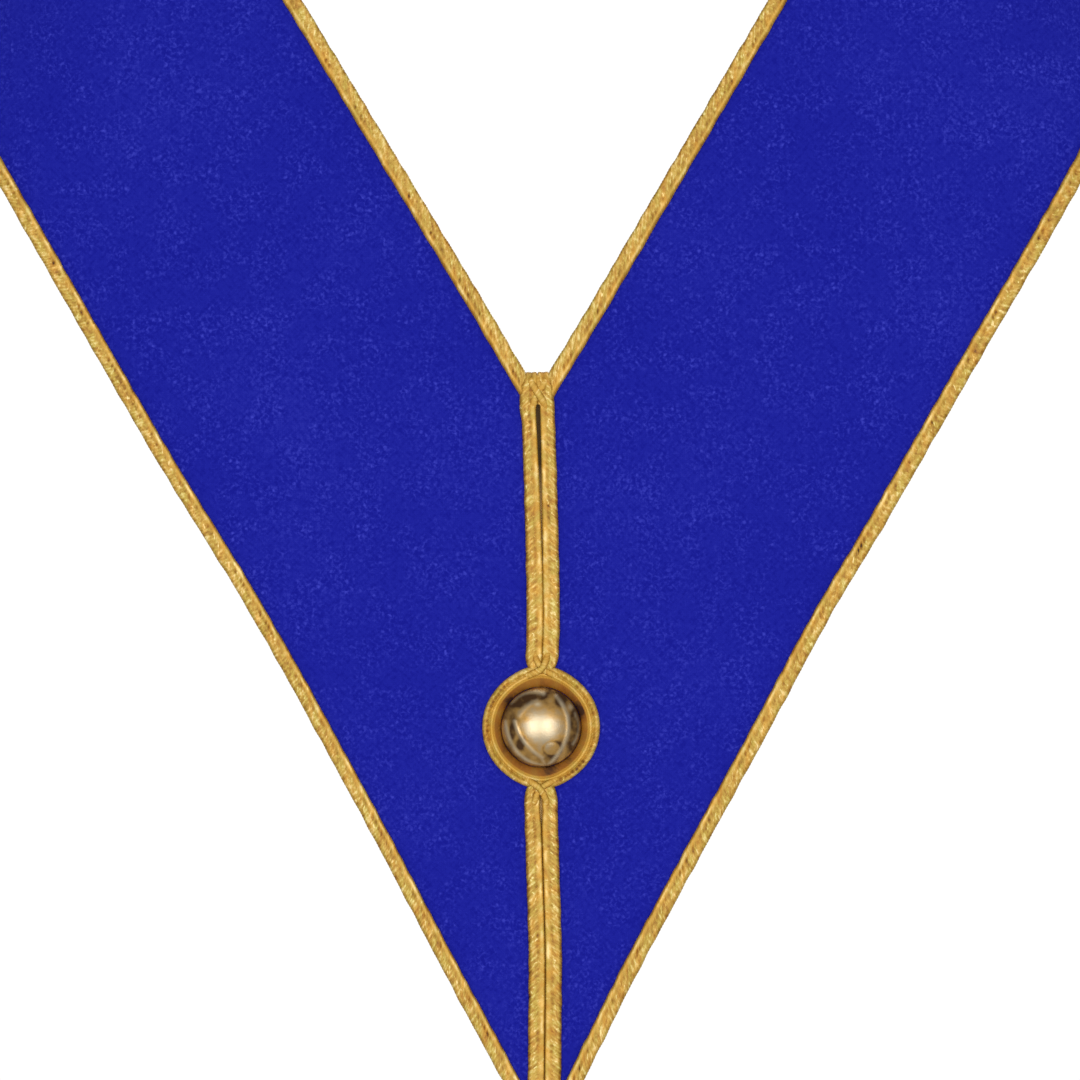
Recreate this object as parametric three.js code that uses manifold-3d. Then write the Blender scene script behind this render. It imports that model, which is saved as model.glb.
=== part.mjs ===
// A ceremonial collar in its worn form, in millimetres, +Z up, its front facing -Y.
// Two royal blue ribbon arms meet in a V on the chest, pass over the shoulders and join at the nape.
// Gold braid edges both arms and the front seam, and rings a domed gilt button.
//
// Each arm is laid out flat, as it is cut: x runs to the right of the seam and z up from the notch of the V.
// The flat cloth is then wrapped, without stretching, over a cone that stands for the shoulder. It stays
// upright in front of the cone's first ray and lies in the leaning plane of the back behind its last ray.

import * as THREE from 'three';
import { mergeVertices } from 'three/addons/utils/BufferGeometryUtils.js';
import Module from 'manifold-3d';

const wasm = await Module();
wasm.setup();

// Ribbon arms
const RIBBON_WIDTH = 103.6;
const RIBBON_THICKNESS = 1.8;
const EDGE_INSET = 0.4;
const SEAM_GAP = 0.3;
const NOTCH_HALF_WIDTH = 3.4;

// Leans from upright of the arms' edges, in degrees
const ARM_LEAN = 30.73;
const OUTER_EDGE_LEAN = 30.13;
const POINT_LEAN = 28.3;
const POINT_EASE_DROP = 61;

// Shoulders and back
const NECK_RISE = 138;
const SHOULDER_SLOPE = 61;
const SHOULDER_RADIUS = 74;
const BACK_LEAN = 10;
const SHOULDER_STEPS = 30;

// Gold braid, two cords side by side with a groove between them
const BRAID_WIDTH = 4.8;
const BRAID_HEIGHT = 1.4;
const LAY_GAP = 0.3;
const SLIT_WIDTH = 1.4;
const SLIT_LENGTH = 46;
const NOTCH_CORNER = 1.1;

// Button and the ring of braid round it
const BUTTON_DROP = 101.2;
const BUTTON_RADIUS = 11.4;
const BUTTON_RIM_HEIGHT = 1.5;
const BUTTON_DOME_HEIGHT = 4.6;
const RING_CLEARANCE = 0.6;
const RING_STEPS = 60;
const RIDGE_WIDTH = 0.7;
const RIDGE_HEIGHT = 0.35;

// Jewel hook behind the point
const HOOK_THICKNESS = 2;
const HOOK_BAND = 2.6;
const HOOK_BEND_RADIUS = 3.6;
const HOOK_TAB_WIDTH = 6;
const HOOK_TAB_LENGTH = 11;
const HOOK_NECK_LENGTH = 9;

// The braid's section: the share of its width from its outer side, and of its height
const BRAID_SECTION = [
  { across: 0.0, up: 0.0 },
  { across: 1.0, up: 0.0 },
  { across: 1.0, up: 0.5 },
  { across: 0.9, up: 0.88 },
  { across: 0.76, up: 1.0 },
  { across: 0.6, up: 0.8 },
  { across: 0.5, up: 0.5 },
  { across: 0.4, up: 0.8 },
  { across: 0.24, up: 1.0 },
  { across: 0.1, up: 0.88 },
  { across: 0.0, up: 0.5 },
];

// Raised curves on the button's dome: start, middle and end, as shares of its radius, right and up
const DOME_RIDGES = [
  { start: [-0.56, 0.62], middle: [-0.92, -0.1], end: [0.3, -0.82] },
  { start: [-0.36, 0.66], middle: [-0.66, 0.0], end: [0.26, -0.58] },
  { start: [0.26, 0.8], middle: [0.84, 0.12], end: [0.1, -0.86] },
  { start: [-0.62, 0.72], middle: [-0.1, 0.96], end: [0.3, 0.92] },
];
const DOME_BOSS = { place: [0.44, -0.42], radius: 0.16 };

const ROYAL_BLUE = new THREE.Color().setRGB(34 / 255, 38 / 255, 157 / 255, THREE.SRGBColorSpace);
const BRAID_GOLD = new THREE.Color().setRGB(214 / 255, 172 / 255, 88 / 255, THREE.SRGBColorSpace);
const GILT = new THREE.Color().setRGB(222 / 255, 190 / 255, 132 / 255, THREE.SRGBColorSpace);

const degrees = THREE.MathUtils.degToRad;
const flat = (x, z) => new THREE.Vector2(x, z);

// Flat straight lines: a point and a direction

const lineThrough = (point, direction) => ({ point, direction });

const leaningLine = (point, lean) => lineThrough(point, flat(Math.sin(degrees(lean)), Math.cos(degrees(lean))));

const uprightLine = (x) => leaningLine(flat(x, 0), 0);

const levelLine = (z) => leaningLine(flat(0, z), 90);

// The line moved to its right-hand side, seen along its direction
function movedRight(line, distance) {
  const right = flat(line.direction.y, -line.direction.x);
  return lineThrough(line.point.clone().addScaledVector(right, distance), line.direction);
}

function crossing(first, second) {
  const between = second.point.clone().sub(first.point);
  const share = between.cross(second.direction) / first.direction.cross(second.direction);
  return first.point.clone().addScaledVector(first.direction, share);
}

// Shoulder cone. All its rays start at the apex, which lies in the plane of the front.

const halfLean = degrees(BACK_LEAN) / 2;
const axisSlope = Math.atan(Math.tan(degrees(SHOULDER_SLOPE)) / Math.cos(halfLean));
const coneHalfAngle = Math.asin(Math.sin(halfLean) * Math.sin(axisSlope));
const coneSine = Math.sin(coneHalfAngle);
const coneCosine = Math.cos(coneHalfAngle);
const coneAxis = new THREE.Vector3(
  Math.cos(axisSlope),
  Math.sin(axisSlope) * Math.sin(halfLean),
  -Math.sin(axisSlope) * Math.cos(halfLean),
);
const firstSpoke = new THREE.Vector3(0, -1, 0).addScaledVector(coneAxis, coneSine).divideScalar(coneCosine);
const quarterSpoke = firstSpoke.clone().cross(coneAxis);
const shoulderTurn = Math.acos((-Math.cos(degrees(BACK_LEAN)) - coneSine ** 2) / coneCosine ** 2);
const shoulderFlatAngle = shoulderTurn * coneSine;

const slope = degrees(SHOULDER_SLOPE);
const firstRay = flat(Math.cos(slope), -Math.sin(slope));
const firstSide = flat(Math.sin(slope), Math.cos(slope));

const innerEdge = leaningLine(flat(NOTCH_HALF_WIDTH, 0), ARM_LEAN);
const bendStart = crossing(innerEdge, levelLine(NECK_RISE));
const apex = bendStart.clone().addScaledVector(firstRay, -SHOULDER_RADIUS / Math.tan(coneHalfAngle));

// A flat line from the apex, at an angle past the cone's first ray
function rayAt(angle) {
  const direction = firstRay.clone().multiplyScalar(Math.cos(angle)).addScaledVector(firstSide, Math.sin(angle));
  return lineThrough(apex, direction);
}

// Where the flat cloth meets the middle plane behind the neck, less half the gap of the seam
function backSeam(gap) {
  const normal = rayAt(shoulderFlatAngle - slope).direction;
  const middle = apex.clone().addScaledVector(normal, gap / 2 - apex.x);
  return lineThrough(middle, flat(normal.y, -normal.x));
}

// Wraps a flat point of the right arm to its place, at a height over the cloth's face
function wrap(point, height) {
  const away = point.clone().sub(apex);
  const angle = Math.atan2(away.dot(firstSide), away.dot(firstRay));
  const turn = THREE.MathUtils.clamp(angle / coneSine, 0, shoulderTurn);
  const rest = angle - turn * coneSine;
  const spoke = firstSpoke.clone().multiplyScalar(Math.cos(turn)).addScaledVector(quarterSpoke, Math.sin(turn));
  const ray = coneAxis.clone().multiplyScalar(coneCosine).addScaledVector(spoke, coneSine);
  const normal = spoke.clone().multiplyScalar(coneCosine).addScaledVector(coneAxis, -coneSine);
  const side = spoke.clone().cross(coneAxis);
  return new THREE.Vector3(apex.x, 0, apex.y)
    .addScaledVector(ray, away.length() * Math.cos(rest))
    .addScaledVector(side, away.length() * Math.sin(rest))
    .addScaledVector(normal, height);
}

// Closed meshes

function signedVolume(points, triangles) {
  let sum = 0;
  for (const [a, b, c] of triangles) {
    sum += points[a].dot(points[b].clone().cross(points[c]));
  }
  return sum / 6;
}

function closedGeometry(points, triangles) {
  const outward = signedVolume(points, triangles) > 0;
  const faces = outward ? triangles : triangles.map(([a, b, c]) => [a, c, b]);
  const geometry = new THREE.BufferGeometry();
  geometry.setAttribute('position', new THREE.Float32BufferAttribute(points.flatMap((p) => p.toArray()), 3));
  geometry.setIndex(faces.flat());
  return geometry;
}

// A solid through rings of points, each ring with as many points, closed by a cap at each end
function loft(rings) {
  const size = rings[0].length;
  const triangles = [];
  for (let row = 0; row + 1 < rings.length; row += 1) {
    for (let i = 0; i < size; i += 1) {
      const a = row * size + i;
      const b = row * size + ((i + 1) % size);
      triangles.push([a, b, b + size], [a, b + size, a + size]);
    }
  }
  const last = (rings.length - 1) * size;
  for (const [a, b, c] of capTriangles(rings[0])) {
    triangles.push([a, c, b], [a + last, b + last, c + last]);
  }
  return closedGeometry(rings.flat(), triangles);
}

// Splits the inside of a flat ring of points into triangles
function capTriangles(ring) {
  const normal = new THREE.Vector3();
  ring.forEach((p, i) => normal.add(p.clone().cross(ring[(i + 1) % ring.length])));
  normal.normalize();
  const across = ring[1].clone().sub(ring[0]).normalize();
  const up = normal.clone().cross(across);
  const contour = ring.map((p) => flat(p.dot(across), p.dot(up)));
  return THREE.ShapeUtils.triangulateShape(contour, []);
}

function mirrored(geometry) {
  const copy = geometry.clone().scale(-1, 1, 1);
  const index = copy.getIndex();
  for (let i = 0; i < index.count; i += 3) {
    const second = index.getX(i + 1);
    index.setX(i + 1, index.getX(i + 2));
    index.setX(i + 2, second);
  }
  return copy;
}

// Three.js lathes turn about Y, which is the button's own axis, so height over the cloth runs to -Y
function turned(profile, steps) {
  const outline = profile.map(({ radius, height }) => flat(radius, -height));
  const lathe = new THREE.LatheGeometry(outline, steps);
  lathe.deleteAttribute('normal');
  lathe.deleteAttribute('uv');
  const merged = mergeVertices(lathe, 1e-4);
  const position = merged.getAttribute('position');
  const points = Array.from({ length: position.count }, (_, i) => new THREE.Vector3().fromBufferAttribute(position, i));
  const index = Array.from(merged.getIndex().array);
  const triangles = [];
  for (let i = 0; i < index.length; i += 3) {
    const corners = index.slice(i, i + 3);
    if (new Set(corners).size === 3) {
      triangles.push(corners);
    }
  }
  return closedGeometry(points, triangles);
}

function toManifold(geometry) {
  return new wasm.Manifold(new wasm.Mesh({
    numProp: 3,
    vertProperties: new Float32Array(geometry.getAttribute('position').array),
    triVerts: new Uint32Array(geometry.getIndex().array),
  }));
}

function fromManifold(solid) {
  const { vertProperties, triVerts } = solid.getMesh();
  const geometry = new THREE.BufferGeometry();
  geometry.setAttribute('position', new THREE.Float32BufferAttribute(vertProperties, 3));
  geometry.setIndex(Array.from(triVerts));
  return geometry;
}

// Edges of the flat arm, each a line or two from the front to the back

const outerEdgeAtNotch = movedRight(innerEdge, RIBBON_WIDTH).point;
const outerUpperEdge = leaningLine(outerEdgeAtNotch, OUTER_EDGE_LEAN);
const outerEasePoint = crossing(outerUpperEdge, levelLine(-POINT_EASE_DROP));
const outerLowerEdge = leaningLine(outerEasePoint, POINT_LEAN);

// Rows of a strip, each a pair of flat points on its outer and inner side, from the bend to the back seam
function rowsBehind(outerLine, innerLine, gap) {
  const cuts = [];
  for (let step = 0; step <= SHOULDER_STEPS; step += 1) {
    cuts.push(rayAt((shoulderFlatAngle * step) / SHOULDER_STEPS));
  }
  cuts.push(backSeam(gap));
  return cuts.map((cut) => [crossing(outerLine, cut), crossing(innerLine, cut)]);
}

function stripGeometry(rows, section) {
  return loft(rows.map(([outer, inner]) => section.map(({ across, height }) => (
    wrap(outer.clone().lerp(inner, across), height)
  ))));
}

const braidSection = BRAID_SECTION.map(({ across, up }) => ({ across, height: LAY_GAP + BRAID_HEIGHT * up }));

const ribbonSection = [
  { across: 0, height: -RIBBON_THICKNESS },
  { across: 1, height: -RIBBON_THICKNESS },
  { across: 1, height: 0 },
  { across: 0, height: 0 },
];

function ribbonGeometry() {
  const inner = movedRight(innerEdge, EDGE_INSET);
  const outerLower = movedRight(outerLowerEdge, -EDGE_INSET);
  const outerUpper = movedRight(outerUpperEdge, -EDGE_INSET);
  const seam = uprightLine(SEAM_GAP / 2);
  const notch = levelLine(-EDGE_INSET);
  const rows = [
    [crossing(outerLower, seam), crossing(notch, seam)],
    [crossing(outerLower, outerUpper), crossing(notch, inner)],
    ...rowsBehind(outerUpper, inner, SEAM_GAP),
  ];
  return stripGeometry(rows, ribbonSection);
}

function outerBraidGeometry() {
  const lower = movedRight(outerLowerEdge, -BRAID_WIDTH);
  const upper = movedRight(outerUpperEdge, -BRAID_WIDTH);
  const seam = uprightLine(SEAM_GAP / 2);
  const rows = [
    [crossing(outerLowerEdge, seam), crossing(lower, seam)],
    [crossing(outerLowerEdge, outerUpperEdge), crossing(lower, upper)],
    ...rowsBehind(outerUpperEdge, upper, SEAM_GAP),
  ];
  return stripGeometry(rows, braidSection);
}

function innerBraidGeometry() {
  const outer = movedRight(innerEdge, BRAID_WIDTH);
  const pairSide = uprightLine(BRAID_WIDTH + SEAM_GAP / 2 + LAY_GAP);
  const rows = [
    [crossing(outer, pairSide), crossing(innerEdge, pairSide)],
    ...rowsBehind(outer, innerEdge, SEAM_GAP),
  ];
  return stripGeometry(rows, braidSection);
}

// Ring of braid: its outer side is the braid's width outside the button's clearance
const ringInnerRadius = BUTTON_RADIUS + RING_CLEARANCE;
const ringOuterRadius = ringInnerRadius + BRAID_WIDTH;

// A flat point on the upper (side 1) or lower (side -1) outside of the ring, a clearance away
function beyondRing(x, side) {
  const radius = ringOuterRadius + LAY_GAP;
  return flat(x, -BUTTON_DROP + side * Math.sqrt(radius ** 2 - x ** 2));
}

// The two front braids leave an open slit below the notch, which closes towards the button
function upperCentreBraidGeometry() {
  const outside = BRAID_WIDTH + SEAM_GAP / 2;
  const rows = [
    [flat(outside - NOTCH_CORNER, 0), flat(SLIT_WIDTH / 2, 0)],
    [flat(outside, -2 * NOTCH_CORNER), flat(SLIT_WIDTH / 2, -2 * NOTCH_CORNER)],
    [flat(outside, -SLIT_LENGTH), flat(SEAM_GAP / 2, -SLIT_LENGTH)],
    [beyondRing(outside, 1), beyondRing(SEAM_GAP / 2, 1)],
  ];
  return stripGeometry(rows, braidSection);
}

function lowerCentreBraidGeometry() {
  const outside = BRAID_WIDTH + SEAM_GAP / 2;
  const stop = movedRight(outerLowerEdge, -BRAID_WIDTH - LAY_GAP);
  const rows = [
    [beyondRing(outside, -1), beyondRing(SEAM_GAP / 2, -1)],
    [crossing(stop, uprightLine(outside)), crossing(stop, uprightLine(SEAM_GAP / 2))],
  ];
  return stripGeometry(rows, braidSection);
}

function ringBraidGeometry() {
  const profile = braidSection.map(({ across, height }) => ({
    radius: THREE.MathUtils.lerp(ringOuterRadius, ringInnerRadius, across),
    height,
  }));
  profile.push(profile[0]);
  return turned(profile, RING_STEPS).translate(0, 0, -BUTTON_DROP);
}

// The dome is a cap of a sphere over the rim
const domeRadius = (BUTTON_RADIUS ** 2 + BUTTON_DOME_HEIGHT ** 2) / (2 * BUTTON_DOME_HEIGHT);
const domeBase = LAY_GAP + BUTTON_RIM_HEIGHT;
const domeCentre = new THREE.Vector3(0, domeRadius - domeBase - BUTTON_DOME_HEIGHT, 0);
const domeHalfAngle = Math.asin(Math.min(1, BUTTON_RADIUS / domeRadius));

// The outward direction of the dome over a face point, given as shares of the button's radius
function domeDirection([right, up]) {
  const x = right * BUTTON_RADIUS;
  const z = up * BUTTON_RADIUS;
  return new THREE.Vector3(x, -Math.sqrt(domeRadius ** 2 - x ** 2 - z ** 2), z).divideScalar(domeRadius);
}

function domeProfile() {
  const steps = 12;
  const rim = [
    { radius: 0, height: LAY_GAP },
    { radius: BUTTON_RADIUS - LAY_GAP, height: LAY_GAP },
    { radius: BUTTON_RADIUS, height: 2 * LAY_GAP },
  ];
  const dome = Array.from({ length: steps }, (_, i) => {
    const angle = domeHalfAngle * (1 - i / steps);
    return {
      radius: domeRadius * Math.sin(angle),
      height: domeRadius * Math.cos(angle) - domeCentre.y,
    };
  });
  return [...rim, ...dome, { radius: 0, height: domeBase + BUTTON_DOME_HEIGHT }];
}

// A rounded ridge along a curve on the dome, sunk a little into it
function ridgeGeometry({ start, middle, end }) {
  const steps = 14;
  const curve = new THREE.QuadraticBezierCurve(
    flat(...start),
    flat(...middle.map((value, i) => 2 * value - (start[i] + end[i]) / 2)),
    flat(...end),
  );
  const shares = curve.getPoints(steps).map((point) => point.toArray());
  const directions = shares.map(domeDirection);
  return loft(directions.map((up, i) => {
    const before = directions[Math.max(i - 1, 0)];
    const after = directions[Math.min(i + 1, steps)];
    const side = after.clone().sub(before).cross(up).normalize();
    const fade = 0.35 + 0.65 * Math.sin((Math.PI * i) / steps);
    return [[-0.5, -1], [-0.35, 0.7], [0, 1], [0.35, 0.7], [0.5, -1]].map(([across, height]) => (
      domeCentre.clone()
        .addScaledVector(up, domeRadius + RIDGE_HEIGHT * height * fade)
        .addScaledVector(side, RIDGE_WIDTH * across * fade)
    ));
  }));
}

function bossGeometry({ place, radius }) {
  const direction = domeDirection(place);
  const at = domeCentre.clone().addScaledVector(direction, domeRadius - RIDGE_HEIGHT);
  const ball = new THREE.SphereGeometry(radius * BUTTON_RADIUS, 14, 8);
  ball.deleteAttribute('normal');
  ball.deleteAttribute('uv');
  return mergeVertices(ball, 1e-4).scale(1, 0.55, 1).translate(at.x, at.y, at.z);
}

function buttonGeometry() {
  let solid = toManifold(turned(domeProfile(), RING_STEPS));
  for (const ridge of DOME_RIDGES) {
    solid = solid.add(toManifold(ridgeGeometry(ridge)));
  }
  solid = solid.add(toManifold(bossGeometry(DOME_BOSS)));
  return fromManifold(solid).translate(0, 0, -BUTTON_DROP);
}

// A flat gilt hook: a tab behind the point of the V, a neck, and an open bend that the jewel's ring goes on
function hookGeometry() {
  const point = crossing(outerLowerEdge, uprightLine(0)).y;
  const neckTop = point + HOOK_TAB_WIDTH / 2 / Math.tan(degrees(POINT_LEAN));
  const top = neckTop + HOOK_TAB_LENGTH;
  const bendCentre = flat(HOOK_BEND_RADIUS, point - HOOK_NECK_LENGTH);
  const half = HOOK_BAND / 2;
  const outer = HOOK_BEND_RADIUS + half;
  const inner = HOOK_BEND_RADIUS - half;
  const shape = new THREE.Shape();
  shape.moveTo(-HOOK_TAB_WIDTH / 2, top);
  shape.lineTo(-HOOK_TAB_WIDTH / 2, neckTop + half);
  shape.lineTo(-half, neckTop);
  shape.lineTo(-half, bendCentre.y);
  shape.absarc(bendCentre.x, bendCentre.y, outer, Math.PI, 2 * Math.PI, false);
  shape.absarc(bendCentre.x + HOOK_BEND_RADIUS, bendCentre.y, half, 0, Math.PI, false);
  shape.absarc(bendCentre.x, bendCentre.y, inner, 2 * Math.PI, Math.PI, true);
  shape.lineTo(half, neckTop);
  shape.lineTo(HOOK_TAB_WIDTH / 2, neckTop + half);
  shape.lineTo(HOOK_TAB_WIDTH / 2, top);
  const plate = new THREE.ExtrudeGeometry(shape, { depth: HOOK_THICKNESS, bevelEnabled: false, curveSegments: 12 });
  plate.deleteAttribute('normal');
  plate.deleteAttribute('uv');
  const standing = mergeVertices(plate, 1e-4).rotateX(Math.PI / 2);
  return standing.translate(0, RIBBON_THICKNESS + LAY_GAP + HOOK_THICKNESS, 0);
}

// The whole collar, moved so that its origin is where it sits on the nape

const ribbonCloth = new THREE.MeshStandardMaterial({ color: ROYAL_BLUE, roughness: 0.85, metalness: 0 });
const goldBraid = new THREE.MeshStandardMaterial({ color: BRAID_GOLD, roughness: 0.45, metalness: 0.5 });
const giltMetal = new THREE.MeshStandardMaterial({ color: GILT, roughness: 0.2, metalness: 1 });

const nape = wrap(crossing(movedRight(innerEdge, EDGE_INSET), backSeam(0)), -RIBBON_THICKNESS);

const collar = new THREE.Group();
collar.position.set(0, -nape.y, -nape.z);

function addPiece(name, geometry, material) {
  const piece = new THREE.Mesh(geometry, material.clone());
  piece.name = name;
  collar.add(piece);
}

function addPair(name, geometry, material) {
  addPiece(`${name}_left`, mirrored(geometry), material);
  addPiece(`${name}_right`, geometry, material);
}

addPair('ribbon', ribbonGeometry(), ribbonCloth);
addPair('outer_braid', outerBraidGeometry(), goldBraid);
addPair('inner_braid', innerBraidGeometry(), goldBraid);
addPair('centre_braid_upper', upperCentreBraidGeometry(), goldBraid);
addPair('centre_braid_lower', lowerCentreBraidGeometry(), goldBraid);
addPiece('button_ring_braid', ringBraidGeometry(), goldBraid);
addPiece('button', buttonGeometry(), giltMetal);
addPiece('jewel_hook', hookGeometry(), giltMetal);

export default collar;
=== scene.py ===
"""Dresses the collar: blue ribbon cloth, plaited gold braid, the ring and its gilt button.

Every length is in metres, and the angles among the sizes are in degrees. The collar is first laid out
flat, as it is cut: x to the right of the front seam and z up from the notch of the V. CollarCut then
wraps the flat points over the shoulders, in the same way as the solids that these pieces replace.
"""

import logging
import math
from dataclasses import dataclass, field
from enum import Enum
from functools import cached_property

import bpy
import numpy as np
from numpy.typing import NDArray
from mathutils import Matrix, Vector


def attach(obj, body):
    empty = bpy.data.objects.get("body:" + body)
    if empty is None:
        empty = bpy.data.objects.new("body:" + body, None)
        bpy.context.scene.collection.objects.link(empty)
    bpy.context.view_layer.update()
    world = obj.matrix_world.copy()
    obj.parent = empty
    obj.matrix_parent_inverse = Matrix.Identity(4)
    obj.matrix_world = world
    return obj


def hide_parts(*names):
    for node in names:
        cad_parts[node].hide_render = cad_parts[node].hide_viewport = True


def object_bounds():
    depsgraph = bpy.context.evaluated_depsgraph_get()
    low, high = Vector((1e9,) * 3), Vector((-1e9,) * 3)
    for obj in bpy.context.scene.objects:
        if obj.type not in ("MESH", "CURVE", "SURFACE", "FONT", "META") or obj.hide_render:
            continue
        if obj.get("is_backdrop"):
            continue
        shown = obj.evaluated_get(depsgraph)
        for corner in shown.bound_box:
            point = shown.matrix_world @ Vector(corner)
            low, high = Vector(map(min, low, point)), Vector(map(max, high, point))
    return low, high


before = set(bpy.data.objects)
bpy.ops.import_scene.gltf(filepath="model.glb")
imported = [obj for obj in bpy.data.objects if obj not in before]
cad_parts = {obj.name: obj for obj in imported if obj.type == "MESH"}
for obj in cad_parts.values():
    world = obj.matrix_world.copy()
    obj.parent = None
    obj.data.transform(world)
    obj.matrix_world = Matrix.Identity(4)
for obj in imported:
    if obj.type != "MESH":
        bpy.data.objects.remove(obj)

Array = NDArray[np.float64]
Socket = bpy.types.NodeSocket
Material = bpy.types.Material
Colour = tuple[float, float, float]
MM = 0.001
REPORT = logging.getLogger("collar")


class Side(Enum):
    """The side of the collar as seen from the front, with its sign along X."""

    LEFT = -1.0
    RIGHT = 1.0


@dataclass(frozen=True)
class FlatLine:
    """A straight line on the flat cloth: a point and a direction, each (x, z)."""

    point: tuple[float, float]
    direction: tuple[float, float]

    @classmethod
    def leaning(cls, point: tuple[float, float], lean: float) -> "FlatLine":
        """The line through a point that leans from upright by an angle in degrees."""
        return cls(point, (math.sin(math.radians(lean)), math.cos(math.radians(lean))))

    @classmethod
    def upright(cls, x: float) -> "FlatLine":
        """The upright line at x."""
        return cls.leaning((x, 0.0), 0.0)

    @classmethod
    def level(cls, z: float) -> "FlatLine":
        """The level line at z."""
        return cls.leaning((0.0, z), 90.0)

    def moved_right(self, distance: float) -> "FlatLine":
        """The line moved to its right-hand side, seen along its direction."""
        dx, dz = self.direction
        return FlatLine((self.point[0] + dz * distance, self.point[1] - dx * distance), self.direction)

    def crossing(self, other: "FlatLine") -> tuple[float, float]:
        """The point where two lines meet.

        Args:
            other: the second line.

        Returns:
            The point (x, z).
        """
        (px, pz), (dx, dz) = self.point, self.direction
        (qx, qz), (ex, ez) = other.point, other.direction
        share = ((qx - px) * ez - (qz - pz) * ex) / (dx * ez - dz * ex)
        return (px + dx * share, pz + dz * share)


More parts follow.
